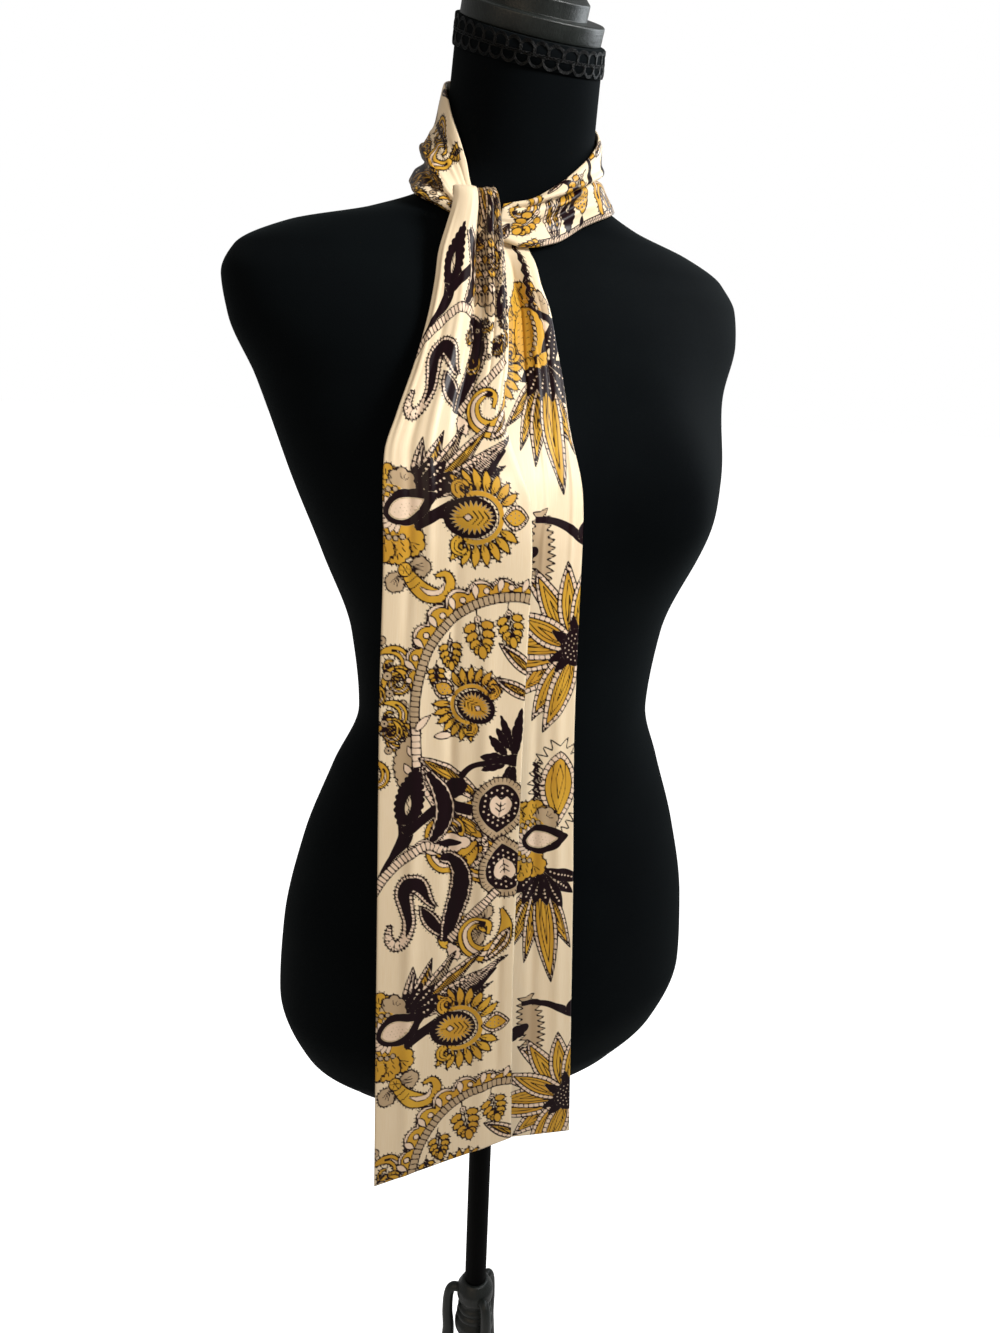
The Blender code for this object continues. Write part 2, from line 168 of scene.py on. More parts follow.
def add_light(name, at, aim, size, power, colour, spread):
    """A square area light that looks from its place at its aim."""
    lamp = bpy.data.lights.new(name, "AREA")
    lamp.size = size
    lamp.energy = power
    lamp.color = colour
    lamp.spread = math.radians(spread)
    made = bpy.data.objects.new(name, lamp)
    bpy.context.scene.collection.objects.link(made)
    made.location = at
    made.rotation_euler = (Vector(aim) - Vector(at)).to_track_quat("-Z", "Y").to_euler()


add_surround()
for light in LIGHTS:
    add_light(*light)

bpy.ops.mesh.primitive_circle_add(vertices=96, radius=FLOOR_RADIUS, fill_type="NGON", location=(0, 0, 0))
floor = bpy.context.active_object
floor.name = "floor"
floor_paint, floor_tree, floor_shader = new_material(
    "matt white floor paint", Base_Color=srgb("FAFAFA"), Roughness=0.9, Emission_Color=srgb("FFFFFF")
)
# The camera sees the floor as white as the surround, and the light falls on a matt surface
seen = add_node(floor_tree, "ShaderNodeLightPath").outputs["Is Camera Ray"]
floor_tree.links.new(seen, floor_shader.inputs["Emission Strength"])
floor.data.materials.append(floor_paint)
bpy.context.scene.view_settings.view_transform = "Standard"
print("lights:", [light[0] for light in LIGHTS], "and a floor", 2 * FLOOR_RADIUS, "m across")

# %% [markdown]
# Every soft form here is a table of sections and a smooth curve through its columns. A monotone cubic is
# used because it never swings past the rows, as a plain spline would at the neck and at the folds.

# %% Curves through tables
def smooth_rows(rows, at, column):
    """A monotone cubic through the rows' first column and this one, read at the given places."""
    table = np.array(rows, float)
    table = table[np.argsort(table[:, 0])]
    xs = table[:, 0]
    ys = table[:, column]
    at = np.clip(np.asarray(at, float), xs[0], xs[-1])
    step = np.diff(xs)
    slope = np.diff(ys) / step
    tangent = np.zeros_like(ys)
    near = 2 * step[1:] + step[:-1]
    far = step[1:] + 2 * step[:-1]
    same = slope[1:] * slope[:-1] > 0
    first = np.where(same, slope[:-1], 1.0)
    second = np.where(same, slope[1:], 1.0)
    tangent[1:-1] = np.where(same, (near + far) / (near / first + far / second), 0.0)
    tangent[0] = slope[0]
    tangent[-1] = slope[-1]
    i = np.clip(np.searchsorted(xs, at, side="right") - 1, 0, len(step) - 1)
    t = (at - xs[i]) / step[i]
    return (
        (2 * t**3 - 3 * t**2 + 1) * ys[i]
        + (t**3 - 2 * t**2 + t) * step[i] * tangent[i]
        + (3 * t**2 - 2 * t**3) * ys[i + 1]
        + (t**3 - t**2) * step[i] * tangent[i + 1]
    )


def softly_more(value, least, blend=0.002):
    """The larger of the two, rounded where they meet."""
    return 0.5 * (value + least + np.sqrt((value - least) ** 2 + blend**2))


def ease(value):
    """0 below 0, 1 above 1, and a smooth rise between."""
    t = np.clip(value, 0, 1)
    return t * t * (3 - 2 * t)


print("ease at a quarter:", float(ease(0.25)))

# %% [markdown]
# A grid of points becomes a mesh of quads. Rows may close into rings, as round the torso, and the first and
# last ring may be capped. Bmesh then turns all faces outwards, as a closed form needs.

# %% Grids to meshes
def place(points):
    """From heights over the torso's rim and depths from the pole's axis to the floor's own."""
    return points + np.array([0.0, POLE_Y, RIM])


def round_turns(count):
    """Even turns in radians from 0, all the way round."""
    return np.radians(np.linspace(0, 360, count + 1)[:-1])


def mesh_object(name, points, faces):
    """An object from points and faces, with every face smooth and turned outwards."""
    mesh = bpy.data.meshes.new(name)
    mesh.from_pydata(points.reshape(-1, 3).tolist(), [], faces)
    shape = bmesh.new()
    shape.from_mesh(mesh)
    bmesh.ops.recalc_face_normals(shape, faces=shape.faces)
    shape.to_mesh(mesh)
    shape.free()
    mesh.polygons.foreach_set("use_smooth", np.ones(len(mesh.polygons), bool))
    made = bpy.data.objects.new(name, mesh)
    bpy.context.scene.collection.objects.link(made)
    return made


def grid_object(name, points, closed=False, capped=False):
    """An object through a grid of points: closed joins each row's ends, capped fills the end rows."""
    count, width = points.shape[:2]
    row = np.arange(count - 1)[:, None] * width
    column = np.arange(width if closed else width - 1)[None]
    after = (column + 1) % width
    faces = np.stack([row + column, row + after, row + width + after, row + width + column], -1)
    faces = faces.reshape(-1, 4).tolist()
    if capped:
        faces.append(list(range(width))[::-1])
        faces.append([(count - 1) * width + k for k in range(width)])
    made = mesh_object(name, points, faces)
    if capped:
        for number in (-2, -1):
            made.data.polygons[number].use_smooth = False
    return made


def finish_piece(made, material, slot, *nodes):
    """Gives a piece its material, its body and the solids that it stands for."""
    made.data.materials.clear()
    made.data.materials.append(material)
    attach(made, "root")
    if nodes:
        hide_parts(*nodes)
    print(made.name, len(made.data.polygons), "faces")
    return made


# %% [markdown]
# The torso is a padded shell in black velvet. Its sections are super-ellipses, a little squarer than an
# ellipse, with the bust added as two soft mounds, and the neck's sections lean to the front as they rise.

# %% Torso form
NECK_TOP = 0.782
NECK_TILT = math.tan(math.radians(24.0))
NECK_TILT_FROM = 0.700
SECTION_POWER = 2.2
# Height, half width, half depth, centre's shift to the back
TORSO_ROWS = (
    (0.000, 0.138, 0.090, 0.002),
    (0.025, 0.163, 0.105, 0.001),
    (0.070, 0.178, 0.116, 0.000),
    (0.130, 0.174, 0.114, -0.001),
    (0.200, 0.158, 0.106, -0.003),
    (0.260, 0.136, 0.092, -0.008),
    (0.310, 0.117, 0.084, -0.016),
    (0.370, 0.123, 0.089, -0.018),
    (0.430, 0.145, 0.098, -0.020),
    (0.490, 0.167, 0.105, -0.013),
    (0.550, 0.184, 0.100, 0.007),
    (0.590, 0.201, 0.090, 0.013),
    (0.615, 0.204, 0.080, 0.018),
    (0.635, 0.194, 0.072, 0.023),
    (0.652, 0.160, 0.064, 0.024),
    (0.665, 0.106, 0.058, 0.018),
    (0.680, 0.067, 0.055, 0.010),
    (0.695, 0.0555, 0.0530, 0.0040),
    (0.712, 0.0520, 0.0520, -0.0010),
    (NECK_TOP, 0.0480, 0.0495, -0.0140),
)
# Bust: distance from the middle, height, how far it stands out, half width, rise above and drop below
BUST_SIDE, BUST_HEIGHT, BUST_OUT = 0.080, 0.470, 0.032
BUST_WIDE, BUST_ABOVE, BUST_BELOW = 0.050, 0.080, 0.050


def torso_section(height):
    """Half width, half depth and shift to the back at a height."""
    return [smooth_rows(TORSO_ROWS, height, column) for column in (1, 2, 3)]


def bust(x, height):
    """A bell across, and a wider bell above than below."""
    rise = height - BUST_HEIGHT
    drop = np.where(rise > 0, rise / BUST_ABOVE, rise / BUST_BELOW)
    return BUST_OUT * np.exp(-(((np.abs(x) - BUST_SIDE) / BUST_WIDE) ** 2) - drop**2)


def neck_lean(height):
    """How steeply a section leans to the front: none below the neck, the cap's tilt at its top."""
    return NECK_TILT * ease((height - NECK_TILT_FROM) / (NECK_TOP - NECK_TILT_FROM))


def torso_point(turn, height, out=0.0):
    """A super-ellipse's point at a turn from +X, moved out by a distance and leaned with the neck."""
    half_width, half_depth, shift = torso_section(height)
    cosine = np.cos(turn)
    sine = np.sin(turn)
    x = (half_width + out) * np.sign(cosine) * np.abs(cosine) ** (2 / SECTION_POWER)
    y = (half_depth + out) * np.sign(sine) * np.abs(sine) ** (2 / SECTION_POWER)
    z = height + neck_lean(height) * y
    return np.stack([x, shift + y - np.where(sine < 0, bust(x, height), 0), z], -1)


TORSO_SIDES = 180
RINGS_PER_ROW = 12
last = len(TORSO_ROWS) - 1
heights = np.interp(
    np.linspace(0, last, RINGS_PER_ROW * last + 1), np.arange(last + 1), [row[0] for row in TORSO_ROWS]
)
torso_grid = torso_point(*np.meshgrid(round_turns(TORSO_SIDES), heights))
torso = grid_object("torso", place(torso_grid), closed=True, capped=True)
print("torso of", len(heights), "rings with", TORSO_SIDES, "points each")

# %% [markdown]
# Velvet is a pile of short upright fibres. Black velvet swallows nearly all light that falls on it straight,
# and shows a faint bloom where the pile is seen edge on, so it is a very dark matt base with a weak sheen.
# A fine noise breaks the surface up as the pile does where it has been brushed.

# %% Velvet
def make_velvet():
    """Nearly black and matt, with a weak cool bloom at its edges and clouds where it has been brushed."""
    made, tree, shader = new_material(
        "black cotton velvet", Roughness=0.95, Specular_IOR_Level=0.06, Sheen_Weight=0.05, Sheen_Roughness=0.4,
        Sheen_Tint=srgb("7F9296"),
    )
    where = add_node(tree, "ShaderNodeTexCoord").outputs["Object"]
    pile = add_node(tree, "ShaderNodeTexNoise", {"Scale": 900.0, "Detail": 2.0}, {"Vector": where})
    brushed = add_node(tree, "ShaderNodeTexNoise", {"Scale": 9.0, "Detail": 4.0, "Roughness": 0.6}, {"Vector": where})
    mixed = add_node(
        tree, "ShaderNodeMix", {FIRST: srgb("010204"), SECOND: srgb("080D0F")}, {FACTOR: brushed.outputs["Fac"]},
        data_type="RGBA",
    )
    tree.links.new(mixed.outputs[MIXED], shader.inputs["Base Color"])
    bump = add_node(
        tree, "ShaderNodeBump", {"Strength": 0.25, "Distance": 0.0004}, {"Height": pile.outputs["Fac"]}
    )
    tree.links.new(bump.outputs["Normal"], shader.inputs["Normal"])
    return made


velvet = make_velvet()
finish_piece(torso, velvet, "form_velvet", "form_torso")

# %% [markdown]
# The neck's top edge is trimmed with scroll gimp: fine rayon cords that a machine lays in loops over a flat
# backing, a row of loops above and one below a twisted middle. Each cord is a thin tube swept along a looping
# curve, wrapped round the neck. Three cords lie side by side in every loop.

# %% Neck braid
TRIM_WIDTH = 0.018
BRAID_REPEATS = 34
CORD = 0.00030
CORD_OUT, CORD_SWING = 0.0013, 0.0003
BACKING_IN, BACKING_OUT = 0.0004, 0.0011
BACKING_SIDES = 180


def on_neck(turn, down, out):
    """A point on the neck: a turn, a drop from its top edge and a distance out of the velvet."""
    return torso_point(turn, NECK_TOP - down, out)


def cord_points(loops, reach, middle, phase, samples=26):
    """A looping curve round the neck: it runs on evenly while it swings along and across."""
    count = BRAID_REPEATS * samples
    at = round_turns(count) * BRAID_REPEATS
    swing = loops * 2 * np.pi / BRAID_REPEATS
    turn = at / BRAID_REPEATS + swing * np.sin(at + phase)
    down = middle + reach * np.cos(at + phase)
    out = CORD_OUT + CORD_SWING * np.sin(2 * at + phase)
    return on_neck(turn, down, out)


def tube_points(path, radius, sides=6):
    """Rings round a closed path, square to it."""
    ahead = np.roll(path, -1, axis=0) - np.roll(path, 1, axis=0)
    ahead /= np.linalg.norm(ahead, axis=1, keepdims=True)
    off_axis = path * [1, 1, 0] / np.linalg.norm(path[:, :2], axis=1, keepdims=True)
    first = np.cross(ahead, off_axis)
    first /= np.linalg.norm(first, axis=1, keepdims=True)
    second = np.cross(first, ahead)
    angle = round_turns(sides)[None, :, None]
    return path[:, None] + radius * (first[:, None] * np.cos(angle) + second[:, None] * np.sin(angle))


def braid_object():
    """All the cords and their backing band in one mesh, each a ring of rings, and which faces are backing."""
    cords = []
    for extra in (0.0, 0.19, 0.38):
        cords.append(cord_points(0.30 * (1 - extra), -0.0040 * (1 - extra), 0.0044, 0.0))
        cords.append(cord_points(0.26 * (1 - extra), 0.0042 * (1 - extra), 0.0134, 2.2))
    for phase in (0.0, 2.1, 4.2):
        cords.append(cord_points(0.0, 0.0009, 0.0089, phase))
    grids = [tube_points(path, CORD) for path in cords]
    turn = round_turns(BACKING_SIDES)
    corners = ((0.0, BACKING_IN), (0.0, BACKING_OUT), (TRIM_WIDTH, BACKING_OUT), (TRIM_WIDTH, BACKING_IN))
    grids.append(np.stack([on_neck(turn, down, out) for down, out in corners], 1))
    points, faces, start = [], [], 0
    for grid in grids:
        count, sides = grid.shape[:2]
        row = start + np.arange(count)[:, None] * sides
        next_row = np.roll(row, -1)
        side = np.arange(sides)[None]
        next_side = np.roll(side, -1)
        quads = np.stack([row + side, row + next_side, next_row + next_side, next_row + side], -1)
        faces.append(quads.reshape(-1, 4))
        points.append(grid.reshape(-1, 3))
        start += count * sides
    made = mesh_object("neck_braid", place(np.concatenate(points)), np.concatenate(faces).tolist())
    backed = np.zeros(len(made.data.polygons), np.int32)
    backed[-len(faces[-1]):] = 1
    return made, backed


def make_cord():
    """Glossy black rayon thread, twisted: a fine diagonal ridge catches the light."""
    made, tree, shader = new_material(
        "black rayon cord", Roughness=0.42, Specular_IOR_Level=0.2, Base_Color=srgb("010202")
    )
    where = add_node(tree, "ShaderNodeTexCoord").outputs["Object"]
    twist = add_node(
        tree, "ShaderNodeTexWave", {"Scale": 420.0, "Distortion": 1.5, "Detail": 1.0}, {"Vector": where},
        bands_direction="DIAGONAL",
    )
    bump = add_node(tree, "ShaderNodeBump", {"Strength": 0.6, "Distance": 0.0002}, {"Height": twist.outputs["Fac"]})
    tree.links.new(bump.outputs["Normal"], shader.inputs["Normal"])
    return made


braid, backed = braid_object()
finish_piece(braid, make_cord(), "braid", "form_neck_trim")
braid.data.materials.append(velvet)
braid.data.polygons.foreach_set("material_index", backed)

# %% [markdown]
# The hub and the neck cap are turned wood, stained near black with the grain still showing. A turned piece is
# a profile of radius and height swept round an axis, and its corners are rounded a little as a lathe leaves
# them.

# %% Turned pieces
def rounded_profile(corners, radius, steps=4):
    """A profile whose corners are cut back by a radius and bridged by a quadratic curve."""
    corners = np.array(corners, float)
    points = [corners[0]]
    for before, corner, after in zip(corners[:-2], corners[1:-1], corners[2:]):
        back = before - corner
        on = after - corner
        cut = min(radius, 0.45 * np.hypot(*back), 0.45 * np.hypot(*on))
        start = corner + back / np.hypot(*back) * cut
        end = corner + on / np.hypot(*on) * cut
        for t in np.linspace(0, 1, steps):
            points.append((1 - t) ** 2 * start + 2 * t * (1 - t) * corner + t * t * end)
    points.append(corners[-1])
    return np.array(points)


def turned_object(name, profile, centre, tilt=0.0, sides=96):
    """Profile rows of radius and height, swept round +Z, tilted to the front and moved to the centre."""
    angle = round_turns(sides)
    radius, height = profile[1:-1, 0][:, None], profile[1:-1, 1][:, None]
    points = np.stack([radius * np.cos(angle), radius * np.sin(angle), height + 0 * angle], -1)
    y = points[..., 1] * math.cos(tilt) - points[..., 2] * math.sin(tilt)
    z = points[..., 1] * math.sin(tilt) + points[..., 2] * math.cos(tilt)
    return grid_object(name, np.stack([points[..., 0], y, z], -1) + np.array(centre), closed=True, capped=True)


CAP_PROFILE = (
    (0.0000, 0.0260), (0.0310, 0.0260), (0.0360, 0.0215), (0.0360, 0.0120),
    (0.0477, 0.0120), (0.0487, 0.0110), (0.0487, 0.0004), (0.0000, 0.0004),
)
cap_centre = place(np.array([0.0, torso_section(NECK_TOP)[2], NECK_TOP]))
cap = turned_object("neck_cap", rounded_profile(CAP_PROFILE, 0.0006), cap_centre, math.atan(NECK_TILT))
HUB_TOP = 0.346
HUB_PROFILE = (
    (0.0000, 0.000), (0.0120, 0.000), (0.0172, -0.009), (0.0172, -0.018), (0.0135, -0.026),
    (0.0160, -0.029), (0.0160, -0.032), (0.0142, -0.034), (0.0170, -0.037), (0.0170, -0.040),
    (0.0152, -0.042), (0.0185, -0.047), (0.0185, -0.054), (0.0130, -0.066), (0.0100, -0.074),
    (0.0100, -0.110), (0.0130, -0.118), (0.0090, -0.130), (0.0000, -0.134),
)
hub = turned_object("stand_hub", rounded_profile(HUB_PROFILE, 0.0016), (0.0, POLE_Y, HUB_TOP))
print("faces of the cap and the hub:", [len(made.data.polygons) for made in (cap, hub)])

# %% [markdown]
# Each leg is bent from a round bar of stained wood that swells towards the middle. It is a ring carried along
# a smooth path in the upright plane of the leg. The pole and the foot pads stay the frame's own plain solids,
# with a coated steel on them.

# %% Legs
# Distance out, height, share of the greatest radius
LEG_ROUTE = (
    (0.0140, 0.3330, 0.50), (0.0215, 0.3330, 0.52), (0.0252, 0.3250, 0.56), (0.0262, 0.3050, 0.60),
    (0.0250, 0.2780, 0.68), (0.0300, 0.2350, 0.85), (0.0560, 0.1800, 1.05), (0.1020, 0.1250, 1.10),
    (0.1500, 0.0780, 1.05), (0.1900, 0.0420, 0.95), (0.2220, 0.0175, 0.90), (0.2400, 0.0141, 0.90),
)
LEG_RINGS = 90
LEG_RADIUS = 0.0085
LEG_TURNS = (30.0, 150.0, 270.0)


def through(points, count):
    """A Catmull-Rom curve: each stretch is a cubic whose ends' slopes come from the neighbours."""
    points = np.array(points, float)
    padded = np.concatenate([[2 * points[0] - points[1]], points, [2 * points[-1] - points[-2]]])
    at = np.linspace(0, len(points) - 1, count)
    i = np.minimum(at.astype(int), len(points) - 2)
    t = (at - i)[:, None]
    a, b, c, d = (padded[i + k] for k in range(4))
    return 0.5 * (2 * b + (c - a) * t + (2 * a - 5 * b + 4 * c - d) * t**2 + (3 * b - a - 3 * c + d) * t**3)


def leg_object(name, turn, sides=24):
    """Rings square to the path, as wide as the route's third column says."""
    route = through(LEG_ROUTE, LEG_RINGS)
    slope = np.gradient(route[:, :2], axis=0)
    slope /= np.hypot(slope[:, 0], slope[:, 1])[:, None]
    angle = round_turns(sides)
    radius = (LEG_RADIUS * route[:, 2])[:, None]
    out = route[:, 0][:, None] - slope[:, 1][:, None] * radius * np.cos(angle)
    height = route[:, 1][:, None] + slope[:, 0][:, None] * radius * np.cos(angle)
    aside = radius * np.sin(angle)
    way = math.radians(turn)
    x = out * math.cos(way) - aside * math.sin(way)
    y = out * math.sin(way) + aside * math.cos(way)
    return grid_object(name, np.stack([x, y + POLE_Y, height], -1), closed=True, capped=True)


def make_wood():
    """Wood stained black, with a fine grain along the upright that shows grey where the stain is worn."""
    made, tree, shader = new_material("ebonised beech", Specular_IOR_Level=0.35, Roughness=0.34, IOR=1.5)
    where = add_node(tree, "ShaderNodeTexCoord").outputs["Object"]
    along = add_node(tree, "ShaderNodeMapping", {"Scale": (1.0, 1.0, 0.12)}, {"Vector": where})
    grain = add_node(
        tree, "ShaderNodeTexNoise", {"Scale": 900.0, "Detail": 4.0, "Roughness": 0.7},
        {"Vector": along.outputs["Vector"]},
    )
    worn = add_node(tree, "ShaderNodeTexNoise", {"Scale": 60.0, "Detail": 3.0}, {"Vector": along.outputs["Vector"]})
    colour = add_node(
        tree, "ShaderNodeMix", {FIRST: srgb("050706"), SECOND: srgb("343A37")}, {FACTOR: grain.outputs["Fac"]},
        data_type="RGBA",
    )
    shade = add_node(
        tree, "ShaderNodeMix", {SECOND: srgb("0C0E0D")},
        {FIRST: colour.outputs[MIXED], FACTOR: worn.outputs["Fac"]}, data_type="RGBA",
    )
    tree.links.new(shade.outputs[MIXED], shader.inputs["Base Color"])
    bump = add_node(
        tree, "ShaderNodeBump", {"Strength": 0.8, "Distance": 0.0004}, {"Height": grain.outputs["Fac"]}
    )
    tree.links.new(bump.outputs["Normal"], shader.inputs["Normal"])
    return made


def make_steel():
    """Matt black powder coat, with a fine grit that breaks up its shine."""
    made, tree, shader = new_material(
        "black powder-coated steel", Roughness=0.6, Specular_IOR_Level=0.05, Base_Color=srgb("020202")
    )
    where = add_node(tree, "ShaderNodeTexCoord").outputs["Object"]
    grit = add_node(tree, "ShaderNodeTexNoise", {"Scale": 1400.0, "Detail": 2.0}, {"Vector": where})
    bump = add_node(
        tree, "ShaderNodeBump", {"Strength": 0.15, "Distance": 0.0002}, {"Height": grit.outputs["Fac"]}
    )
    tree.links.new(bump.outputs["Normal"], shader.inputs["Normal"])
    return made


wood = make_wood()
steel = make_steel()
finish_piece(cap, wood, "stained_wood", "form_neck_cap")
finish_piece(hub, wood, "stained_wood", "form_hub")
for number, turn in enumerate(LEG_TURNS, 1):
    finish_piece(leg_object(f"stand_leg_{number}", turn), wood, "stained_wood", f"form_leg_{number}")
for name in ("form_pole", "form_foot_pad_1", "form_foot_pad_2", "form_foot_pad_3"):
    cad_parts[name].data.materials.clear()
    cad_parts[name].data.materials.append(steel)
    print(name, "in", steel.name)

# %% [markdown]
# The scarf hangs in two tails. Each is a table of sections: where its left and right edges are at a place
# along it, and how far its folds are gathered. The same tables shaped the solids, so these finer sheets
# lie where they lie.

# %% Tail tables
# How far the middle of the cloth stays off the torso, alone and where the front tail lies over the back one
SCARF_CLEAR = 0.0016
OVER_CLEAR = 0.0042
SLANT_REACH = 0.25
# Distance along, height, left x, left y, right x, right y, gathered
FRONT_TAIL_ROWS = (
    (0.008, 0.6680, -0.0665, -0.0430, -0.0390, -0.0440, 1.00),
    (0.015, 0.6730, -0.0680, -0.0465, -0.0405, -0.0485, 1.00),
    (0.022, 0.6700, -0.0690, -0.0510, -0.0420, -0.0550, 1.00),
    (0.032, 0.6610, -0.0710, -0.0535, -0.0420, -0.0600, 1.00),
    (0.045, 0.6480, -0.0755, -0.0550, -0.0420, -0.0640, 1.00),
    (0.061, 0.6320, -0.0820, -0.0590, -0.0430, -0.0710, 1.00),
    (0.081, 0.6130, -0.0880, -0.0680, -0.0460, -0.0820, 1.00),
    (0.101, 0.5940, -0.0950, -0.0770, -0.0490, -0.0930, 0.95),
    (0.135, 0.5620, -0.1095, -0.0915, -0.0555, -0.1120, 0.75),
    (0.170, 0.5300, -0.1255, -0.1030, -0.0620, -0.1280, 0.50),
    (0.195, 0.5070, -0.1355, -0.1105, -0.0585, -0.1385, 0.30),
    (0.224, 0.4800, -0.1385, -0.1170, -0.0530, -0.1480, 0.12),
    (0.264, 0.4400, -0.1390, -0.1200, -0.0525, -0.1520, 0.05),
    (0.354, 0.3500, -0.1410, -0.1200, -0.0535, -0.1520, 0.03),
    (0.504, 0.2000, -0.1418, -0.1200, -0.0535, -0.1520, 0.02),
    (0.684, 0.0200, -0.1430, -0.1200, -0.0490, -0.1520, 0.02),
)
FRONT_TAIL_SLANT = 0.036
BACK_TAIL_ROWS = (
    (0.000, 0.6480, -0.0500, -0.0412, -0.0130, -0.0432, 0.10),
    (0.008, 0.6400, -0.0510, -0.0455, -0.0120, -0.0480, 0.15),
    (0.016, 0.6320, -0.0525, -0.0510, -0.0112, -0.0560, 0.50),
    (0.031, 0.6170, -0.0560, -0.0610, -0.0140, -0.0660, 1.00),
    (0.050, 0.5980, -0.0620, -0.0710, -0.0110, -0.0770, 0.95),
    (0.077, 0.5730, -0.0720, -0.0830, -0.0105, -0.0910, 0.80),
    (0.106, 0.5470, -0.0820, -0.0950, -0.0090, -0.1050, 0.60),
    (0.136, 0.5200, -0.0920, -0.1090, -0.0088, -0.1180, 0.35),
    (0.172, 0.4870, -0.0980, -0.1230, -0.0078, -0.1329, 0.15),
    (0.212, 0.4480, -0.0985, -0.1280, -0.0100, -0.1400, 0.06),
    (0.310, 0.3500, -0.0985, -0.1290, -0.0091, -0.1403, 0.03),
    (0.460, 0.2000, -0.0950, -0.1290, -0.0020, -0.1408, 0.02),
    (0.660, 0.0000, -0.0900, -0.1290, 0.0070, -0.1414, 0.02),
)
BACK_TAIL_SLANT = -0.010
# Section of a gathered tail: share of the strip, share across, depth out
GATHER_ROWS = (
    (0.00, 0.00, 0.0005), (0.12, 0.10, 0.0040), (0.28, 0.30, 0.0060), (0.42, 0.50, 0.0040),
    (0.52, 0.61, -0.0020), (0.60, 0.68, 0.0020), (0.70, 0.78, 0.0070), (0.82, 0.92, 0.0075),
    (0.92, 1.00, 0.0030), (1.00, 0.95, -0.0030),
)
# Creases: share across at the top and at the bottom, from and to along, half width and depth out
FRONT_CREASES = (
    (0.09, 0.06, 0.03, 0.22, 0.020, 0.0011),
    (0.20, 0.16, 0.04, 0.34, 0.035, -0.0015),
    (0.33, 0.30, 0.02, 0.30, 0.030, 0.0014),
    (0.62, 0.60, 0.01, 0.19, 0.016, -0.0014),
    (0.67, 0.66, 0.01, 0.13, 0.014, 0.0010),
    (0.74, 0.71, 0.01, 0.17, 0.016, -0.0012),
    (0.80, 0.79, 0.01, 0.12, 0.014, 0.0008),
    (0.87, 0.84, 0.01, 0.18, 0.018, -0.0011),
    (0.95, 0.93, 0.02, 0.14, 0.014, 0.0006),
    (0.26, 0.22, 0.30, 0.70, 0.050, 0.0021),
    (0.48, 0.52, 0.24, 0.60, 0.040, -0.0021),
    (0.72, 0.78, 0.28, 0.70, 0.055, 0.0022),
    (0.90, 0.88, 0.36, 0.66, 0.030, -0.0012),
)
BACK_CREASES = (
    (0.55, 0.60, 0.02, 0.20, 0.015, -0.0012),
    (0.66, 0.68, 0.02, 0.24, 0.014, 0.0012),
    (0.76, 0.78, 0.02, 0.18, 0.014, -0.0010),
    (0.88, 0.90, 0.02, 0.26, 0.016, 0.0010),
    (0.30, 0.32, 0.02, 0.22, 0.030, -0.0010),
    (0.70, 0.66, 0.26, 0.62, 0.040, -0.0018),
    (0.85, 0.88, 0.22, 0.66, 0.045, 0.0018),
    (0.40, 0.44, 0.22, 0.66, 0.080, 0.0010),
)


def torso_front(x, height):
    """The depth of the torso's front: the super-ellipse solved for its depth, less the bust."""
    half_width, half_depth, shift = torso_section(height)
    share = np.clip(1 - np.abs(x / half_width) ** SECTION_POWER, 0, None)
    return shift - half_depth * share ** (1 / SECTION_POWER) - bust(x, height)


def tail_points(rows, share, along, slant, clear):
    """Straight between the edges, mixed with the gathered section, kept clear of the torso, slanted at the end."""
    height, left_x, left_y, right_x, right_y, gathered = (smooth_rows(rows, along, k) for k in range(1, 7))
    across = (1 - gathered) * share + gathered * smooth_rows(GATHER_ROWS, share, 1)
    out = gathered * smooth_rows(GATHER_ROWS, share, 2)
    x = left_x + (right_x - left_x) * across
    y = left_y + (right_y - left_y) * across - out
    y = -softly_more(-y, -torso_front(x, height) + clear)
    fall = np.clip(1 - (rows[-1][0] - along) / SLANT_REACH, 0, 1) ** 2
    return np.stack([x, y, height - slant * fall * (1 - share)], -1)


print("front tail", FRONT_TAIL_ROWS[-1][0], "m along")

# %% [markdown]
# The sewn strip is two layers of satin with a soft rolled edge, about a millimetre thick. Each piece is a
# closed shell: an outer skin that is finely divided, since it carries the print, and an inner one that is
# coarser. Creases are bells across that fade in and out along the cloth.

# %% Shells
SHELL_HALF = 0.0005
FORM_SAMPLES = 241
EDGE_POWER = 30
TAIL_OUTER, TAIL_INNER = 104, 34
FRONT_RINGS, BACK_RINGS = 715, 700


def creases(table, share, along):
    """The sum of the creases: a bell across, times a rise and a fall along."""
    total = np.zeros_like(share)
    for top, bottom, start, end, half_width, depth in table:
        reach = np.clip((along - start) / (end - start), 0, 1)
        middle = top + (bottom - top) * reach
        fade = np.sin(np.pi * reach) ** 0.7
        total += depth * fade * np.exp(-(((share - middle) / half_width) ** 2))
    return total


def normals_of(points):
    """The cross product of the grid's two slopes, at length 1. It faces away from the torso."""
    down = np.gradient(points, axis=0)
    across = np.gradient(points, axis=1)
    normal = np.cross(down, across)
    return normal / np.maximum(np.linalg.norm(normal, axis=-1, keepdims=True), 1e-12)


